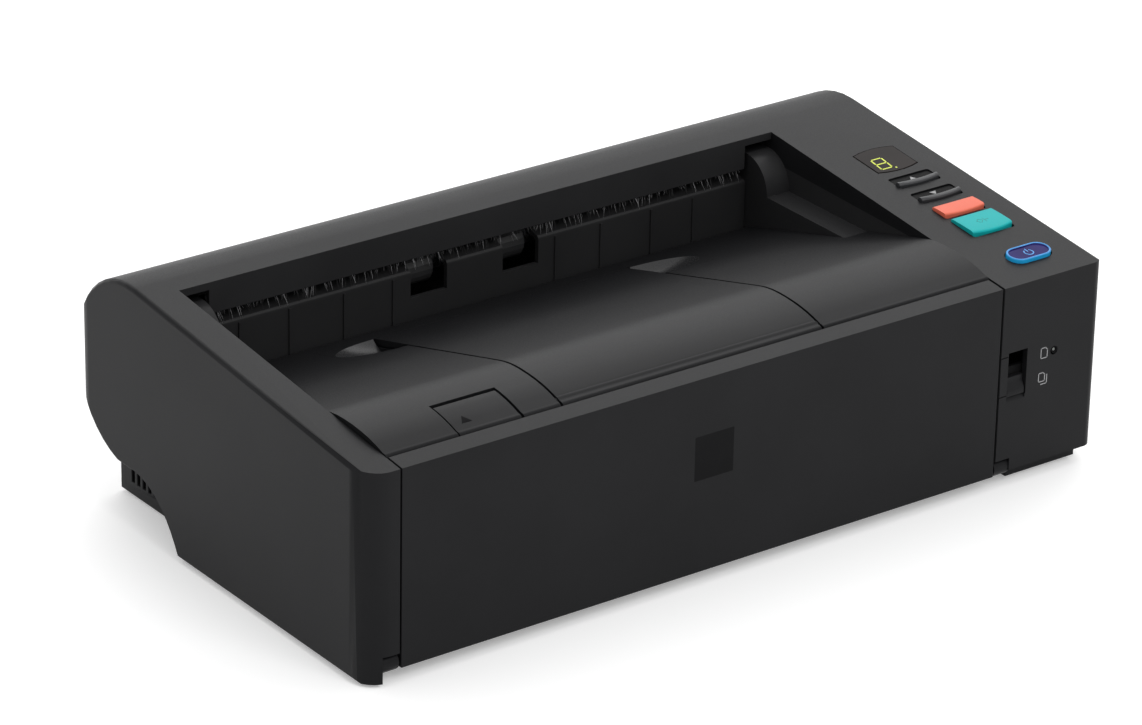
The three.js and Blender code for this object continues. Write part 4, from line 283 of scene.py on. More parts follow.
# Colour, range of roughness, grain, specular level and spread of the shades
CASING = plastic("charcoal_casing", (0.0098, 0.0099, 0.0108), (0.34, 0.46), CASING_GRAIN, 0.1)
INNER = plastic("inner_plastic", (0.0185, 0.0185, 0.0192), (0.36, 0.48), INNER_GRAIN, 0.2)
# A lighter copy of the casing colour for the recess of the ejected sheets: painted light
BAY_PAINTED_LIGHT = plastic("bay_painted_light", (0.0215, 0.0215, 0.0225), (0.36, 0.48), CASING_GRAIN, 0.2)
# Bowls of the cover: the glossier finish is real gloss, and the colour lighter than the casing's is
# painted light
BOWL_POLISH_AND_PAINTED_LIGHT = plastic("bowl_polish_painted_light", (0.02, 0.02, 0.021), (0.24, 0.32), POLISHED_GRAIN, 0.36)
# Near black: the print of the button bands, and painted shade in the lever slot and in the screws'
# crosses
BLACK_PRINT_AND_SHADE = plastic("black_print_and_painted_shade", (0.0035, 0.0035, 0.0038), (0.5, 0.6), INNER_GRAIN, 0.05)
LIP_GREY = plastic("button_grey", (0.034, 0.035, 0.038), (0.34, 0.42), LIP_GRAIN, 0.3)
CORAL = plastic("coral_button", (0.74, 0.15, 0.09), (0.38, 0.46), BUTTON_GRAIN, 0.16, 0.04)
TEAL = plastic("teal_button", (0.006, 0.38, 0.385), (0.38, 0.46), BUTTON_GRAIN, 0.1, 0.05)
GEAR = plastic("gear_plastic", (0.76, 0.74, 0.68), (0.38, 0.48), GEAR_GRAIN, 0.4, 0.04)
RUBBER = plastic("rubber", (0.026, 0.026, 0.027), (0.42, 0.55), RUBBER_GRAIN, 0.4, 0.2)
HAIR_DARK = plastic("hair_dark", (0.03, 0.03, 0.031), (0.35, 0.45), HAIR_GRAIN, 0.3)
# Pale grey hairs stand in for glints on the dark brush: painted highlight
HAIR_GLINT = plastic("hair_painted_glint", (0.36, 0.36, 0.37), (0.3, 0.4), HAIR_GRAIN, 0.4)
BOARD = plastic("board", (0.012, 0.10, 0.035), (0.3, 0.4), BOARD_GRAIN, 0.4, 0.15)
PRINT = plastic("print_grey", (0.30, 0.30, 0.305), (0.5, 0.6), PRINT_GRAIN, 0.3)
PRINT_TEAL = plastic("print_teal", (0.007, 0.24, 0.21), (0.5, 0.6), PRINT_GRAIN, 0.3)
PRINT_DARK = plastic("print_dark", (0.0045, 0.0045, 0.005), (0.6, 0.7), PRINT_GRAIN, 0.05)
STEEL = metal("steel", (0.50, 0.51, 0.53), (0.62, 0.63, 0.65), (0.22, 0.36), (1, 40, 40))
BRONZE = metal("bronze", (0.50, 0.34, 0.12), (0.62, 0.44, 0.18), (0.28, 0.4), (40, 1, 1))
PORT = metal("port_shell", (0.42, 0.43, 0.45), (0.55, 0.56, 0.58), (0.2, 0.32), (20, 20, 1))
SCREW = metal("screw_steel", (0.10, 0.10, 0.105), (0.16, 0.16, 0.165), (0.28, 0.4), (1, 1, 30))
WINDOW = clear_gloss("smoked_window", (0.0150, 0.0115, 0.0105), (0.10, 0.16), 0.035)
PLATE = clear_gloss("gloss_plate", (0.0045, 0.0045, 0.005), (0.10, 0.15), 0.06)
BLUE = clear_gloss("blue_button", (0.018, 0.36, 0.72), (0.2, 0.28), 0.3)
BLUE_TOP = clear_gloss("blue_button_top", (0.024, 0.019, 0.12), (0.1, 0.16), 0.03)
BLUE_RIM = glowing("blue_rim", (0.045, 0.25, 0.60), 0.15)
DIGIT = glowing("digit", (0.42, 0.48, 0.03), 0.5)
LENS = glowing("lens_light", (0.16, 0.17, 0.16), 0.2)
GLASS = glass()

FINISH = {
    "casing": CASING,
    "inner_plastic": INNER,
    "rubber": RUBBER,
    "steel": STEEL,
    "bronze": BRONZE,
    "gear": GEAR,
    "board": BOARD,
    "glass": GLASS,
    "window": WINDOW,
    "bristle": HAIR_DARK,
    "dark_button": LIP_GREY,
    "coral_button": CORAL,
    "teal_button": TEAL,
    "blue_button": BLUE,
    "port": PORT,
    "motor": STEEL,
}
# Material slot of each node, as the record gives it
SLOT_OF = {s["node"]: s["material_slot"] for s in frame["record"]["subparts"]}


# Mesh making. Distances in metres, angles in degrees
MERGE_DISTANCE = 0.000004
SHORTEST_EDGE = 0.00002
FLAT_ANGLE = 0.5
SHARP_ANGLE = 28
BEVEL_SEGMENTS = 2
NORMAL_WEIGHT = 60


def piece(name, mesh, body, slot, *materials, smooth=True):
    obj = bpy.data.objects.new(name, mesh)
    bpy.context.scene.collection.objects.link(obj)
    for material in materials:
        mesh.materials.append(material)
    for polygon in mesh.polygons:
        polygon.use_smooth = smooth
    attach(obj, body)
    return obj


def mesh_from(name, bm):
    bmesh.ops.recalc_face_normals(bm, faces=bm.faces)
    mesh = bpy.data.meshes.new(name)
    bm.to_mesh(mesh)
    bm.free()
    return mesh


def soften(obj, width, sharp=SHARP_ANGLE):
    """Rounds the sharp edges and lets the large faces stay flat in the shading."""
    bevel = obj.modifiers.new("edges", "BEVEL")
    bevel.width = width * MM
    bevel.segments = BEVEL_SEGMENTS
    bevel.limit_method = "ANGLE"
    bevel.angle_limit = math.radians(sharp)
    bevel.use_clamp_overlap = True
    normals = obj.modifiers.new("normals", "WEIGHTED_NORMAL")
    normals.mode = "FACE_AREA"
    normals.weight = NORMAL_WEIGHT
    normals.keep_sharp = True


def add_rings(bm, rings, slots=None, first_slot=0, last_slot=0, band=()):
    """Skins the rings one after another and closes both ends; band has the second material."""
    rows = [[bm.verts.new(point) for point in ring] for ring in rings]
    for step, (low, high) in enumerate(zip(rows, rows[1:])):
        for i in range(len(low)):
            k = (i + 1) % len(low)
            face = bm.faces.new((low[i], low[k], high[k], high[i]))
            face.material_index = slots[step] if slots else int(i in band)
    bm.faces.new(list(reversed(rows[0]))).material_index = first_slot
    bm.faces.new(rows[-1]).material_index = last_slot


def add_prism(bm, outline, place, low, high):
    add_rings(bm, [[place(a, b, c) for a, b in outline] for c in (low, high)])


def add_stroke(bm, start, end, width, place, low, high):
    along = (Vector(end) - Vector(start)).normalized() * width / 2
    aside = Vector((-along.y, along.x))
    p, q = Vector(start) - along, Vector(end) + along
    add_prism(bm, [p + aside, p - aside, q - aside, q + aside], place, low, high)


def arc(a, b, radius, sides, start, end):
    """Points from start to end round a middle, both of them included."""
    step = (end - start) / sides
    return [
        (a + radius * math.cos(start + step * i), b + radius * math.sin(start + step * i))
        for i in range(sides + 1)
    ]


def circle(a, b, radius, sides):
    return arc(a, b, radius, sides, 0, 2 * math.pi)[:-1]


def rectangle(left, right, low, high):
    return [(left, low), (right, low), (right, high), (left, high)]


def merged(node):
    bm = bmesh.new()
    bm.from_mesh(NODES[node].data)
    bmesh.ops.remove_doubles(bm, verts=bm.verts, dist=MERGE_DISTANCE)
    bmesh.ops.dissolve_degenerate(bm, edges=bm.edges, dist=SHORTEST_EDGE)
    return bm


def flattened(bm):
    """Joins the facets of each flat face into one."""
    bmesh.ops.dissolve_limit(
        bm, angle_limit=math.radians(FLAT_ANGLE), verts=bm.verts, edges=bm.edges
    )
    return bm


def carved(mesh, cutter):
    """The mesh with the cutter's volume taken away."""
    target = bpy.data.objects.new("carved", mesh)
    tool = bpy.data.objects.new("cutter", cutter)
    for obj in (target, tool):
        bpy.context.scene.collection.objects.link(obj)
    cut = target.modifiers.new("cut", "BOOLEAN")
    cut.operation = "DIFFERENCE"
    cut.solver = "EXACT"
    cut.object = tool
    depsgraph = bpy.context.evaluated_depsgraph_get()
    result = bpy.data.meshes.new_from_object(target.evaluated_get(depsgraph))
    bpy.data.objects.remove(target)
    bpy.data.objects.remove(tool)
    return result


# Ends of the moving pieces of the front, in millimetres: place along X, and shift away from there
SIDE_ENDS = {
    "front_panel": [(13.6, 0.4), (267.2, -0.6)],
    "eject_flap": [(83.4, 0.6), (193.5, -0.6)],
    "open_lever": [(42.4, 0.2), (68, -0.7)],
}
END_TOLERANCE = 0.02


def drawn_in(bm, ends):
    """Moves the ends of a moving piece in from the pieces beside it."""
    for vert in bm.verts:
        for place, shift in ends:
            if abs(vert.co.x - at(place, 0, 0).x) < END_TOLERANCE * MM:
                vert.co.x += shift * MM
    return bm


def refined(node, width, mesh=None, materials=None, pick=None, sharp=SHARP_ANGLE):
    """Replaces a node by its own shape with rounded edges; pick gives each face's material."""
    slot = SLOT_OF[node]
    if mesh is None:
        bm = drawn_in(flattened(merged(node)), SIDE_ENDS.get(node, []))
        mesh = mesh_from(node + "_surface", bm)
    obj = piece(node + "_shape", mesh, BODY_OF[node], slot, *(materials or [FINISH[slot]]))
    if pick:
        for polygon in mesh.polygons:
            polygon.material_index = pick(polygon.center, polygon.normal)
    soften(obj, width, sharp)
    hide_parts(node)


def lower_part(node, depth):
    """What a control has under its cap: the node cut off at a depth under the surface."""
    bm = flattened(merged(node))
    normal = Vector((0, -math.sin(TOP_ANGLE), math.cos(TOP_ANGLE)))
    found = bmesh.ops.bisect_plane(
        bm,
        geom=bm.verts[:] + bm.edges[:] + bm.faces[:],
        plane_co=on_controls(0, 0, -depth),
        plane_no=normal,
        clear_outer=True,
    )
    rim = [e for e in found["geom_cut"] if isinstance(e, bmesh.types.BMEdge)]
    bmesh.ops.edgeloop_fill(bm, edges=rim)
    return bm


# Casing, with the bevelled lower edge of the lever slot and the notches beside it
SLOT_LEFT = 270.4
SLOT_RIGHT = 279
SLOT_BOTTOM = 33.5
SLOT_TOP = 51
SLOT_SHIFT = 0.2
SILL_DEPTH = 1.3
SILL_HEIGHT = 1.5
SILL_OVERLAP = 0.1
PLATE_EDGE = 267
NOTCH_BOTTOMS = (SLOT_TOP - 1.5, SLOT_BOTTOM + 1)
NOTCH_HEIGHT = 0.35
NOTCH_DEPTH = 0.6
CUTTER_REACH = 1


def slot_cutter():
    bm = bmesh.new()
    profile = [
        (SLOT_BOTTOM + SILL_OVERLAP, -SILL_DEPTH),
        (SLOT_BOTTOM + SILL_OVERLAP, CUTTER_REACH),
        (SLOT_BOTTOM - SILL_HEIGHT, CUTTER_REACH),
        (SLOT_BOTTOM - SILL_HEIGHT, 0),
    ]
    left, right = SLOT_LEFT + SLOT_SHIFT, SLOT_RIGHT + SLOT_SHIFT
    add_rings(bm, [[on_front(a, b, c) for b, c in profile] for a in (left, right)])
    for b in NOTCH_BOTTOMS:
        notch = rectangle(PLATE_EDGE, left, b, b + NOTCH_HEIGHT)
        add_prism(bm, notch, on_front, -NOTCH_DEPTH, CUTTER_REACH)
    return mesh_from("slot_cutter", bm)


def casing_mesh():
    raw = mesh_from("casing_raw", merged("main_casing"))
    bm = bmesh.new()
    bm.from_mesh(carved(raw, slot_cutter()))
    bmesh.ops.remove_doubles(bm, verts=bm.verts, dist=MERGE_DISTANCE)
    return mesh_from("main_casing_surface", flattened(bm))


# The recess of the ejected sheets, where the casing's faces get a lighter colour as painted light
BAY_LEFT = 13.3
BAY_RIGHT = 267.5
BAY_FRONT = 12
BAY_REAR = 134
BAY_RIM = 0.6


def in_bay(centre, normal):
    """Whether a face of the casing lies inside the recess of the ejected sheets, where it gets
    painted light.
    """
    low = at(BAY_LEFT - BAY_RIM, BAY_FRONT, 0)
    high = at(BAY_RIGHT + BAY_RIM, BAY_REAR, 0)
    surface = at(0, 0, FRONT_HEIGHT).z + (centre.y - at(0, 0, 0).y) * TOP_RISE_SHARE
    inside = low.x < centre.x < high.x and low.y < centre.y < high.y
    return int(inside and surface - centre.z > BAY_RIM * MM)


# The chamfers all round the casing stay unbevelled, so that they shade as one round edge
CHAMFER_LIMIT = 50
CASING_EDGE = 0.5
# The casing's faces inside the recess get the lighter copy of its colour, as painted light
refined("main_casing", CASING_EDGE, casing_mesh(), [CASING, BAY_PAINTED_LIGHT], in_bay, CHAMFER_LIMIT)

# Width of the rounded edges of the other visible pieces, in millimetres
EDGE_WIDTHS = {
    "base_tray": 0.4,
    "front_cover": 0.5,
    "eject_flap": 0.4,
    "open_lever": 0.3,
    "front_panel": 0.5,
    "tray_plate": 0.3,
    "guide_left": 0.3,
    "guide_right": 0.3,
    "turn_guide": 0.3,
    "usb_port": 0.2,
    "display_window": 0.15,
}
for node, width in EDGE_WIDTHS.items():
    refined(node, width)

# Mode lever: a knob, with its slider and its sides in black as painted shade of the slot
KNOB_EDGE = 0.25
KNOB_DEPTH = 2.3
KNOB_SIDE = 0.5


# Faces behind the knob's front, and its sides, get the near-black painted shade
def off_knob(centre, normal):
    return int(centre.y > at(0, KNOB_DEPTH, 0).y or abs(normal.x) > KNOB_SIDE)


refined("feed_mode_lever", KNOB_EDGE, materials=[CASING, BLACK_PRINT_AND_SHADE], pick=off_knob)

# Power inlet: plastic shell, steel pin
INLET_EDGE = 0.2
INLET_X = 231.5
INLET_Z = 13.4
PIN_RADIUS = 1.3


def on_pin(centre, _):
    return int((centre.xz - at(INLET_X, 0, INLET_Z).xz).length < PIN_RADIUS * MM)


refined("power_inlet", INLET_EDGE, materials=[INNER, STEEL], pick=on_pin)


# Buttons: fronts along Y, depths up the slope, and how far the front edge bows forward
BUTTON_LEFT = 282.4
BUTTON_WIDTH = 18.2
BUTTON_MIDDLE = BUTTON_LEFT + BUTTON_WIDTH / 2
UPPER_FRONT = 75.2
LOWER_FRONT = 62.6
SMALL_DEPTH = 7.6
SMALL_BOW = 1.1
STOP_FRONT = 50
STOP_DEPTH = 8
STOP_BOW = 0.9
START_SHIFT = 0.3
START_FRONT = 34.5
START_DEPTH = 13.5
START_BOW = 1.4
CAP_EDGE = 0.25
CAP_BOTTOM = -2.2
CAP_CUT = 1.6
# Profiles: shares of the depth from the front edge, with the height over the surface
SMALL_PROFILE = [
    (0, CAP_BOTTOM),
    (0, 0.65),
    (0.05, 1.05),
    (0.15, 1.3),
    (0.27, 1.2),
    (0.34, 0.75),
    (0.38, -0.15),
    (0.98, -0.5),
    (1, -0.6),
    (1, CAP_BOTTOM),
]
# Sides of the small profile behind its lip, which are dark
SMALL_BAND = range(6, 9)
WIDE_PROFILE = [
    (0, CAP_BOTTOM),
    (0, 0.8),
    (0.03, 1.15),
    (0.1, 1.35),
    (0.5, 1.25),
    (0.92, 0.95),
    (0.98, 0.8),
    (1, 0.5),
    (1, CAP_BOTTOM),
]
BUTTON_STEPS = 10


def button_cap(bm, left, front, depth, bow, profile, band=()):
    """A cap lofted from left to right: its front edge bows forward and its middle is crowned."""
    b0 = up_slope(front)
    rings = []
    for i in range(BUTTON_STEPS + 1):
        side = 2 * i / BUTTON_STEPS - 1
        start = b0 + bow * side * side
        reach = depth - bow * side * side
        a = left + BUTTON_WIDTH * i / BUTTON_STEPS
        rings.append([on_controls(a, start + reach * share, c) for share, c in profile])
    add_rings(bm, rings, band=band)


def button(node, left, front, depth, bow, profile, materials, band=()):
    bm = lower_part(node, CAP_CUT)
    button_cap(bm, left, front, depth, bow, profile, band)
    slot = SLOT_OF[node]
    obj = piece(node + "_shape", mesh_from(node + "_cap", bm), BODY_OF[node], slot, *materials)
    soften(obj, CAP_EDGE)
    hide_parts(node)


for node, front in (("upper_button", UPPER_FRONT), ("lower_button", LOWER_FRONT)):
    small = (SMALL_DEPTH, SMALL_BOW, SMALL_PROFILE)
    button(node, BUTTON_LEFT, front, *small, [LIP_GREY, BLACK_PRINT_AND_SHADE], SMALL_BAND)
button("stop_button", BUTTON_LEFT, STOP_FRONT, STOP_DEPTH, STOP_BOW, WIDE_PROFILE, [CORAL])
left = BUTTON_LEFT + START_SHIFT
button("start_button", left, START_FRONT, START_DEPTH, START_BOW, WIDE_PROFILE, [TEAL])


# Power button: a stadium with a bright rim round a sunken clear top
POWER_FRONT = 11.4
POWER_DEPTH = 9.2
POWER_ARC = 10
POWER_EDGE = 0.1
POWER_MIDDLE = up_slope(POWER_FRONT) + POWER_DEPTH / 2


def stadium(inset):
    radius = POWER_DEPTH / 2 - inset
    left = BUTTON_LEFT + POWER_DEPTH / 2
    right = BUTTON_LEFT + BUTTON_WIDTH - POWER_DEPTH / 2
    half = math.pi / 2
    return arc(right, POWER_MIDDLE, radius, POWER_ARC, -half, half) + arc(
        left, POWER_MIDDLE, radius, POWER_ARC, half, 3 * half
    )


POWER_RINGS = [
    (0, CAP_BOTTOM),
    (0, 0.9),
    (0.12, 1.2),
    (0.35, 1.38),
    (0.6, 1.38),
    (0.82, 1.2),
    (0.95, 0.85),
]
power = lower_part("power_button", CAP_CUT)
add_rings(
    power,
    [[on_controls(a, b, c) for a, b in stadium(inset)] for inset, c in POWER_RINGS],
    slots=[0, 0, 1, 1, 1, 2],
    last_slot=2,
)
power_cap = piece(
    "power_button_shape",
    mesh_from("power_cap", power),
    BODY_OF["power_button"],
    "blue_button",
    BLUE,
    BLUE_RIM,
    BLUE_TOP,
)
soften(power_cap, POWER_EDGE)
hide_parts("power_button")


# Marks: thin plates on the surfaces, or sunk a little into them
MARK = 0.03
FRONT_MARK = 0.02
MARK_SUNK = 0.1


def mark(name, bm, body, slot, material):
    piece(name, mesh_from(name, bm), body, slot, material, smooth=False)


# Power mark: an open ring with a bar in its gap
OPEN_RING_RADII = (1.95, 1.5)
OPEN_RING_GAP = 0.6
OPEN_RING_STEPS = 20
OPEN_RING_DROP = 0.1
BAR_ENDS = (0.6, 2.2)
BAR_STROKE = 0.45


def power_mark():
    bm = bmesh.new()
    a, b = BUTTON_MIDDLE, POWER_MIDDLE - OPEN_RING_DROP
    low = POWER_RINGS[-1][1]
    turns = (math.pi / 2 + OPEN_RING_GAP, 5 * math.pi / 2 - OPEN_RING_GAP)
    outer, inner = (arc(a, b, radius, OPEN_RING_STEPS, *turns) for radius in OPEN_RING_RADII)
    for i in range(OPEN_RING_STEPS):
        outline = [outer[i], outer[i + 1], inner[i + 1], inner[i]]
        add_prism(bm, outline, on_controls, low, low + MARK)
    start, end = ((a, b + reach) for reach in BAR_ENDS)
    add_stroke(bm, start, end, BAR_STROKE, on_controls, low, low + MARK)
    return bm


mark("power_mark", power_mark(), BODY_OF["power_button"], "blue_button", BLUE_RIM)


def cap_height(profile, share):
    """Height of a cap over the surface, at a share of its depth."""
    for (s0, c0), (s1, c1) in zip(profile[1:], profile[2:]):
        if s0 <= share <= s1 and s1 > s0:
            return c0 + (c1 - c0) * (share - s0) / (s1 - s0)
    return 0


# Start mark: a diamond, an upright and a dash, laid on the crowned cap
START_MARK_X = 291.9
START_MARK_UP = 7
DIAMOND = [(-2.7, 0), (-1.4, 1.35), (-0.1, 0), (-1.4, -1.35)]
DIAMOND_STROKE = 0.3
UPRIGHT = ((0.7, -1.4), (0.7, 1.4))
DASH = ((1.1, 0), (2.4, 0))
DASH_STROKE = 0.32


def on_start(a, b, c):
    up = START_MARK_UP + b
    height = cap_height(WIDE_PROFILE, up / START_DEPTH)
    return on_controls(START_MARK_X + a, up_slope(START_FRONT) + up, height + c)


def add_outline(bm, corners, width, place, high):
    """A closed line of strokes through the corners."""
    for p, q in zip(corners, corners[1:] + corners[:1]):
        add_stroke(bm, p, q, width, place, 0, high)


def start_mark():
    bm = bmesh.new()
    add_outline(bm, DIAMOND, DIAMOND_STROKE, on_start, MARK)
    for start, end in (UPRIGHT, DASH):
        add_stroke(bm, start, end, DASH_STROKE, on_start, 0, MARK)
    return bm


mark("start_mark", start_mark(), BODY_OF["start_button"], "teal_button", PRINT_TEAL)


# Small triangles in the bands of the two grey buttons, one up and one down
BAND_SHARE = 0.68
BAND_MARK_WIDE = 1.4
BAND_MARK_TALL = 1.1


def band_mark(front, turn):
    bm = bmesh.new()
    a, b = BUTTON_MIDDLE, up_slope(front) + SMALL_DEPTH * BAND_SHARE
    low = cap_height(SMALL_PROFILE, BAND_SHARE)
    wide, tall = BAND_MARK_WIDE, BAND_MARK_TALL * turn
    corners = [(a - wide, b - tall), (a + wide, b - tall), (a, b + tall)]
    add_prism(bm, corners, on_controls, low - MARK_SUNK, low + 2 * MARK)
    return bm


mark("upper_mark", band_mark(UPPER_FRONT, 1), BODY_OF["upper_button"], "dark_button", PRINT)
mark("lower_mark", band_mark(LOWER_FRONT, -1), BODY_OF["lower_button"], "dark_button", PRINT)

# Display: a lit seven-segment figure eight and a point, on the window
WINDOW_TOP = 0.15
DIGIT_LEFT = 285.2
DIGIT_RIGHT = 290
DIGIT_BOTTOM = 89.8
DIGIT_TOP = 97.2
DIGIT_SLANT = 0.09
DIGIT_STROKE = 0.6
POINT_PLACE = (291.2, 88.9)
POINT_RADIUS = 0.42
POINT_SIDES = 12


def on_digit(a, b, c):
    return on_controls(a + DIGIT_SLANT * (b - DIGIT_BOTTOM), up_slope(b), WINDOW_TOP + c)


def digit():
    bm = bmesh.new()
    middle = (DIGIT_BOTTOM + DIGIT_TOP) / 2
    left, right = DIGIT_LEFT + DIGIT_STROKE, DIGIT_RIGHT - DIGIT_STROKE
    for b in (DIGIT_BOTTOM, middle, DIGIT_TOP):
        add_stroke(bm, (left, b), (right, b), DIGIT_STROKE, on_digit, 0, MARK)
    for a in (DIGIT_LEFT, DIGIT_RIGHT):
        for bottom, top in ((DIGIT_BOTTOM, middle), (middle, DIGIT_TOP)):
            start, end = (a, bottom + DIGIT_STROKE), (a, top - DIGIT_STROKE)
            add_stroke(bm, start, end, DIGIT_STROKE, on_digit, 0, MARK)
    add_prism(bm, circle(*POINT_PLACE, POINT_RADIUS, POINT_SIDES), on_digit, 0, MARK)
    return bm


mark("display_digit", digit(), "frame", "window", DIGIT)

# Indicator lens: a dark ring with a small light in the middle
LENS_PLACE = (292.4, 47)
LENS_SIDES = 20
LENS_RINGS = [
    (1.4, -4),
    (1.4, -0.35),
    (1.15, -0.3),
    (0.95, -0.55),
    (0.85, -0.9),
    (0.55, -0.9),
    (0.42, -0.7),
]


def lens_ring(radius, c):
    return [on_front(a, b, c) for a, b in circle(*LENS_PLACE, radius, LENS_SIDES)]


lens = bmesh.new()
add_rings(
    lens,
    [lens_ring(radius, c) for radius, c in LENS_RINGS],
    slots=[0, 0, 0, 0, 0, 1],
    last_slot=1,
)
lens_obj = piece("indicator_lens_shape", mesh_from("lens", lens), "frame", "window", PLATE, LENS)
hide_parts("indicator_lens")


# Page marks beside the slot: one sheet, and a sheet with another showing behind it
PAGE_STROKE = 0.34
SINGLE_SHEET = {"a": 285.9, "b": 45.2, "width": 2.9, "height": 3.9, "fold": 0.9}
STACKED_SHEET = {"a": 285.4, "b": 36.2, "width": 2.8, "height": 3.3, "fold": 0.8}
SHEET_BEHIND = [(286.6, 35.1), (289.2, 35.1), (289.2, 38.4)]


def sheet_mark(bm, a, b, width, height, fold):
    corners = [
        (a, b),
        (a + width, b),
        (a + width, b + height - fold),
        (a + width - fold, b + height),
        (a, b + height),
    ]
    add_outline(bm, corners, PAGE_STROKE, on_front, FRONT_MARK)


page_marks = bmesh.new()
sheet_mark(page_marks, **SINGLE_SHEET)
sheet_mark(page_marks, **STACKED_SHEET)
for start, end in zip(SHEET_BEHIND, SHEET_BEHIND[1:]):
    add_stroke(page_marks, start, end, PAGE_STROKE, on_front, 0, FRONT_MARK)
mark("page_marks", page_marks, "frame", "casing", PRINT)

# Bare inlay on the panel: left, right, bottom and top
INLAY = (133, 149.4, 39, 55.4)
INLAY_SUNK = 0.2
inlay = bmesh.new()
add_prism(inlay, rectangle(*INLAY), on_front, -INLAY_SUNK, FRONT_MARK)
mark("panel_inlay", inlay, "panel", "casing", PLATE)


# Dark triangle on the lever, laid on its surface
def surface_finder(node):
    bm = merged(node)
    tree = BVHTree.FromBMesh(bm)
    bm.free()
    return tree


lever_tree = surface_finder("open_lever")
ARROW_PLACE = (48.4, 12.9)
ARROW_HALF = 2
ARROW_LENGTH = 3.4
ARROW_ROWS = 6
ARROW_POINT = 0.02
ABOVE_ALL = 100


def on_lever(a, b, c):
    hit = lever_tree.ray_cast(at(a, b, ABOVE_ALL), Vector((0, 0, -1)))[0]
    return hit + Vector((0, 0, c * MM))


def lever_arrow():
    bm = bmesh.new()
    a, b = ARROW_PLACE
    for row in range(ARROW_ROWS):
        low, high = row / ARROW_ROWS, (row + 1) / ARROW_ROWS
        wide, narrow = ARROW_HALF * (1 - low), ARROW_HALF * (1 - high) + ARROW_POINT
        b0, b1 = b + ARROW_LENGTH * low, b + ARROW_LENGTH * high
        outline = [(a - wide, b0), (a + wide, b0), (a + narrow, b1), (a - narrow, b1)]
        add_prism(bm, outline, on_lever, -MARK_SUNK, MARK)
    return bm


mark("lever_arrow", lever_arrow(), "lever", "casing", PRINT_DARK)

# Brush over the exit slot: a backing strip and tufts of fine hairs, some of them pale grey as
# painted glints. Pairs are ranges of chance
BRUSH_LEFT = 25.6
BRUSH_RIGHT = 255.2
BACK_FRONT = 133.9
BACK_REAR = 136.1
BACK_BOTTOM = 80.4
BACK_TOP = 84.4
BRUSH_MARGIN = 3
BRUSH_SEED = 7
TUFTS = 78
TUFT_HAIRS = 6
TUFT_SHIFT = 0.3
TUFT_LEAN = 1.1
HAIR_RADIUS = 0.07
HAIR_SIDES = 4
HAIR_STEPS = 5
HAIR_TAPER = 0.5
HAIR_PITCH = 0.16
HAIR_FAN = 0.35
HAIR_LEAN = 0.35
ROOT_Y = (134.4, 135.4)
ROOT_UP = 0.5
OVER_SHARE = 0.3
# Share of the hairs drawn pale grey as painted glints
GLINT_SHARE = 0.36
KNEE_FORWARD = 0.7
# Hairs over the guide wall, and shorter ones behind it: Y and Z of the tip, height of the knee
OVER_WALL = ((130.8, 131.3), (74.4, 75.6), 78.4)
BEHIND_WALL = ((132.2, 133.6), (76.1, 77.2), 78.8)


def hair_rings(root, knee, tip):
    """A tapered hair along a bent line from its root over its knee to its tip."""
    rings = []
    for i in range(HAIR_STEPS + 1):
        t = i / HAIR_STEPS
        middle = root * (1 - t) ** 2 + knee * (2 * t * (1 - t)) + tip * t**2
        corners = circle(0, 0, HAIR_RADIUS * (1 - HAIR_TAPER * t), HAIR_SIDES)
        rings.append([at(middle.x + dx, middle.y + dy, middle.z) for dx, dy in corners])
    return rings


def brush():
    chance = random.Random(BRUSH_SEED)
    dark = bmesh.new()
    pale = bmesh.new()
    back = rectangle(BRUSH_LEFT, BRUSH_RIGHT, BACK_FRONT, BACK_REAR)
    add_rings(dark, [[at(x, y, z) for x, y in back] for z in (BACK_BOTTOM, BACK_TOP)])
    pitch = (BRUSH_RIGHT - BRUSH_LEFT - 2 * BRUSH_MARGIN) / (TUFTS - 1)
    for i in range(TUFTS):
        centre = BRUSH_LEFT + BRUSH_MARGIN + i * pitch + chance.uniform(-TUFT_SHIFT, TUFT_SHIFT)
        lean = chance.gauss(0, TUFT_LEAN)
        for k in range(TUFT_HAIRS):
            spread = k - (TUFT_HAIRS - 1) / 2
            x = centre + spread * HAIR_PITCH
            tip_x = x + lean + spread * HAIR_FAN + chance.gauss(0, HAIR_LEAN)
            root = Vector((x, chance.uniform(*ROOT_Y), BACK_BOTTOM + ROOT_UP))
            depths, heights, knee_z = OVER_WALL if chance.random() < OVER_SHARE else BEHIND_WALL
            tip_y, tip_z = chance.uniform(*depths), chance.uniform(*heights)
            knee = Vector(((x + tip_x) / 2, (root.y + tip_y) / 2 - KNEE_FORWARD, knee_z))
            target = pale if chance.random() < GLINT_SHARE else dark
            add_rings(target, hair_rings(root, knee, Vector((tip_x, tip_y, tip_z))))
    return dark, pale


dark_hairs, glint_hairs = brush()
dark_mesh = mesh_from("hairs_dark", dark_hairs)
brush_piece = piece("brush_hairs_dark", dark_mesh, "frame", "bristle", HAIR_DARK)
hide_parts("antistatic_brush")
glint_mesh = mesh_from("hairs_painted_glint", glint_hairs)
glint_piece = piece("brush_hairs_painted_glint", glint_mesh, "frame", "bristle", HAIR_GLINT)
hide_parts("antistatic_brush")

# Oval bowls beside the rear corners of the flap, set into the cover's square recesses. The bowls
# are glossier than the casing, and their lighter colour is painted light
SCOOP_SLOPE = 0.274
SCOOP_REAR = 118.6
SCOOP_REAR_HEIGHT = 59.523
SCOOP_REACH = 21.6
SCOOP_HALF = 10.7
SCOOP_MIDDLE = 107.6
SCOOP_DEEP = 5.6
SCOOP_FOOT = 6.6
SCOOP_SIDES = [(83.1, -1), (193.8, 1)]
SCOOP_BORDER = (22.6, 11.4)
SCOOP_TURNS = 32
SCOOP_RINGS = 8
SCOOP_LIFT = 0.02
RIM_ANGLE = 20
TINY = 1e-6


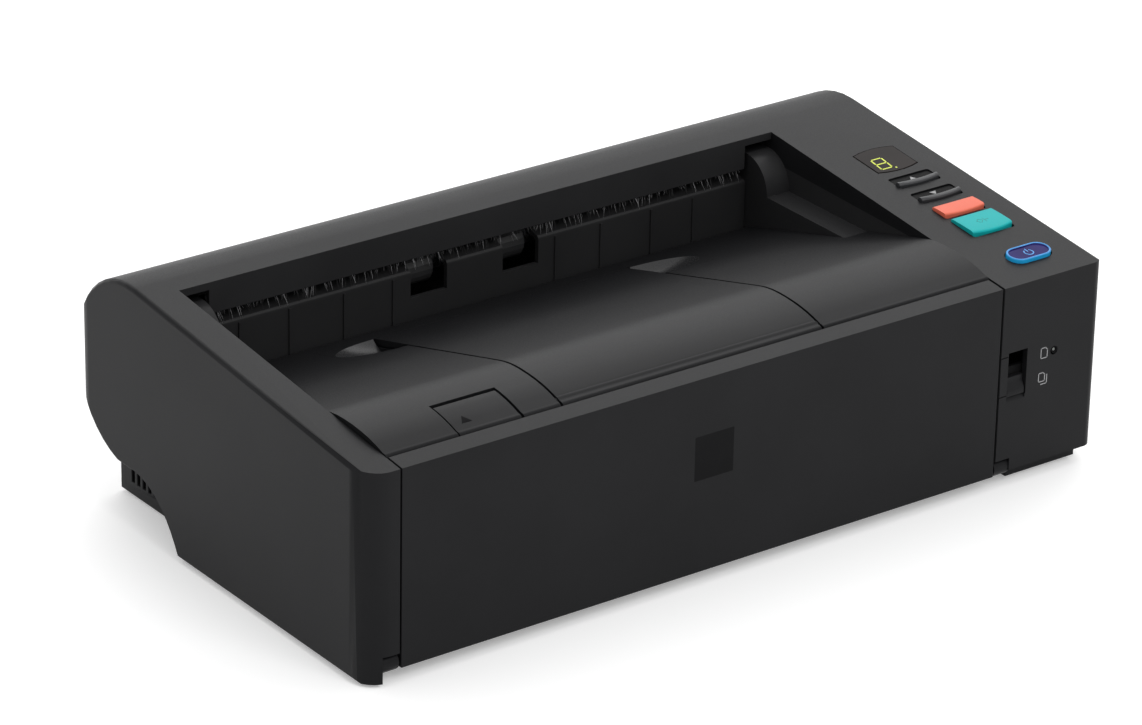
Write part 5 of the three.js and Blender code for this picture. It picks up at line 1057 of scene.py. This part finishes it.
def on_slope(x, y, drop):
    return at(x, y, SCOOP_REAR_HEIGHT + SCOOP_SLOPE * (SCOOP_REAR - y) - drop)


def scoop_column(x0, side, turn):
    """Points from the bowl's edge outwards and down its block, at one angle round the bowl."""
    c, s = math.cos(turn), math.sin(turn)
    points = []
    for i in range(1, SCOOP_RINGS + 1):
        share = i / SCOOP_RINGS
        x = x0 + side * SCOOP_REACH * share * c
        y = SCOOP_MIDDLE + SCOOP_HALF * share * s
        points.append(on_slope(x, y, SCOOP_DEEP * (1 - share * share) - SCOOP_LIFT))
    width, half = SCOOP_BORDER
    grow = min(width / max(abs(c), TINY), half / max(abs(s), TINY))
    x, y = x0 + side * grow * c, SCOOP_MIDDLE + grow * s
    return points + [on_slope(x, y, -SCOOP_LIFT), on_slope(x, y, SCOOP_FOOT)]


def scoops():
    bm = bmesh.new()
    for x0, side in SCOOP_SIDES:
        turns = [math.pi * (i / SCOOP_TURNS - 0.5) for i in range(SCOOP_TURNS + 1)]
        middle = bm.verts.new(on_slope(x0, SCOOP_MIDDLE, SCOOP_DEEP - SCOOP_LIFT))
        columns = [[bm.verts.new(p) for p in scoop_column(x0, side, turn)] for turn in turns]
        for left, right in zip(columns, columns[1:]):
            bm.faces.new((middle, left[0], right[0])).material_index = 1
            for k in range(len(left) - 1):
                face = bm.faces.new((left[k], left[k + 1], right[k + 1], right[k]))
                face.material_index = int(k < SCOOP_RINGS - 1)
        first, last = columns[0], columns[-1]
        bm.faces.new([middle] + first + list(reversed(last)))
        bm.faces.new([column[-1] for column in columns])
    return bm


scoop_mesh = mesh_from("scoops", scoops())
scoop_body = BODY_OF["front_cover"]
# The bowl faces take the glossier material, whose lighter colour is painted light
scoop_piece = piece("cover_scoops", scoop_mesh, scoop_body, "casing", CASING, BOWL_POLISH_AND_PAINTED_LIGHT)
rims = scoop_piece.modifiers.new("rims", "EDGE_SPLIT")
rims.split_angle = math.radians(RIM_ANGLE)

# Underside: cross-head screws and a bare plate
SCREW_PLACES = [(52, 31), (261, 31), (52, 151), (261, 151)]
SCREW_RINGS = [(3, 0), (3, 0.25), (2.7, 0.5), (2, 0.62), (1.2, 0.66)]
SCREW_SIDES = 20
CROSS_HALF = 1.5
CROSS_STROKE = 0.5
CROSS_HEIGHTS = (0.6, 0.69)
PLATE_SIDES = (118, 192, 62, 100)
PLATE_HEIGHT = 0.06


def screw_ring(a, b, radius, c):
    return [on_underside(x, y, c) for x, y in circle(a, b, radius, SCREW_SIDES)]


def screws():
    heads = bmesh.new()
    slots = bmesh.new()
    for a, b in SCREW_PLACES:
        add_rings(heads, [screw_ring(a, b, radius, c) for radius, c in SCREW_RINGS])
        for dx, dy in ((CROSS_HALF, 0), (0, CROSS_HALF)):
            start, end = (a - dx, b - dy), (a + dx, b + dy)
            add_stroke(slots, start, end, CROSS_STROKE, on_underside, *CROSS_HEIGHTS)
    return heads, slots


screw_heads, screw_slots = screws()
mark("underside_screws", screw_heads, "frame", "steel", SCREW)
# The screws' cross recesses are near-black strokes on the heads: painted shade
mark("underside_screw_slots", screw_slots, "frame", "steel", BLACK_PRINT_AND_SHADE)
plate = bmesh.new()
add_prism(plate, rectangle(*PLATE_SIDES), on_underside, -MARK_SUNK, PLATE_HEIGHT)
mark("underside_plate", plate, "frame", "casing", PRINT_DARK)

# The other nodes keep the frame's own shape and get its finish
REPLACED = set(EDGE_WIDTHS) | {
    "main_casing",
    "feed_mode_lever",
    "power_inlet",
    "upper_button",
    "lower_button",
    "stop_button",
    "start_button",
    "power_button",
    "indicator_lens",
    "antistatic_brush",
}
for node, obj in NODES.items():
    if node not in REPLACED:
        obj.data.materials.clear()
        obj.data.materials.append(FINISH[SLOT_OF[node]])


# Stage: pale floor, plain soft light
def seen_white(nodes, links):
    """1 for rays from the camera, in reflections and through glass, else 0."""
    path = nodes.new("ShaderNodeLightPath")
    total = path.outputs["Is Camera Ray"]
    for name in ("Is Glossy Ray", "Is Transmission Ray"):
        add = nodes.new("ShaderNodeMath")
        add.operation = "ADD"
        add.use_clamp = True
        links.new(total, add.inputs[0])
        links.new(path.outputs[name], add.inputs[1])
        total = add.outputs["Value"]
    return total


FLOOR_SIZE = 6
FLOOR_GLOW = 0.3
FLOOR_PATCHES = 3
FLOOR_SHADES = ((0.84, 0.84, 0.84), (0.86, 0.86, 0.86))
FLOOR_ROUGHNESS = 0.9
FLOOR_SPECULAR = 0.2
WHITE = (1, 1, 1, 1)


def stage():
    floor_mesh = bpy.data.meshes.new("floor")
    bm = bmesh.new()
    bmesh.ops.create_grid(bm, x_segments=1, y_segments=1, size=FLOOR_SIZE)
    bm.to_mesh(floor_mesh)
    bm.free()
    floor = bpy.data.objects.new("floor", floor_mesh)
    bpy.context.scene.collection.objects.link(floor)
    material, nodes, links, shader = new_material("pale_floor")
    tone = noise(nodes, links, FLOOR_PATCHES, detail=2)
    links.new(ramp(nodes, links, tone, *FLOOR_SHADES), shader.inputs["Base Color"])
    shader.inputs["Roughness"].default_value = FLOOR_ROUGHNESS
    shader.inputs["Specular IOR Level"].default_value = FLOOR_SPECULAR
    glow = nodes.new("ShaderNodeMath")
    glow.operation = "MULTIPLY"
    glow.inputs[1].default_value = FLOOR_GLOW
    links.new(seen_white(nodes, links), glow.inputs[0])
    shader.inputs["Emission Color"].default_value = WHITE
    links.new(glow.outputs["Value"], shader.inputs["Emission Strength"])
    floor_mesh.materials.append(material)


# Brighter behind and above, a little darker in front
SKY_AXIS = (0.45, 0.62, 0.64)
SKY_STRENGTHS = (0.5, 1.0)
SKY_TURN = (-0.6, 0.5)


def sky():
    world = bpy.data.worlds.new("studio")
    bpy.context.scene.world = world
    world.use_nodes = True
    nodes, links = world.node_tree.nodes, world.node_tree.links
    background = nodes["Background"]
    coordinates = nodes.new("ShaderNodeTexCoord")
    dot = nodes.new("ShaderNodeVectorMath")
    dot.operation = "DOT_PRODUCT"
    dot.inputs[1].default_value = SKY_AXIS
    links.new(coordinates.outputs["Generated"], dot.inputs[0])
    strength = ranged(nodes, links, dot.outputs["Value"], *SKY_STRENGTHS, *SKY_TURN)
    links.new(strength, background.inputs["Strength"])
    background.inputs["Color"].default_value = WHITE


# Place and size in metres, and power in watts
LIGHTS = {
    "back_softbox": ((0.95, 1.15, 1.25), (2.2, 1.4), 14),
    "front_light": ((0.1, -1.9, 1.9), (1.2, 1.0), 19),
}
LIGHT_AIM = (0, 0, 0.05)


def area_light(name, place, size, energy):
    data = bpy.data.lights.new(name, "AREA")
    data.shape = "RECTANGLE"
    data.size, data.size_y = size
    data.energy = energy
    light = bpy.data.objects.new(name, data)
    bpy.context.scene.collection.objects.link(light)
    light.location = place
    aim = Vector(LIGHT_AIM) - Vector(place)
    light.rotation_euler = aim.to_track_quat("-Z", "Y").to_euler()


stage()
sky()
for name, light in LIGHTS.items():
    area_light(name, *light)

view = bpy.context.scene.view_settings
view.view_transform = "Standard"

bpy.context.view_layer.update()
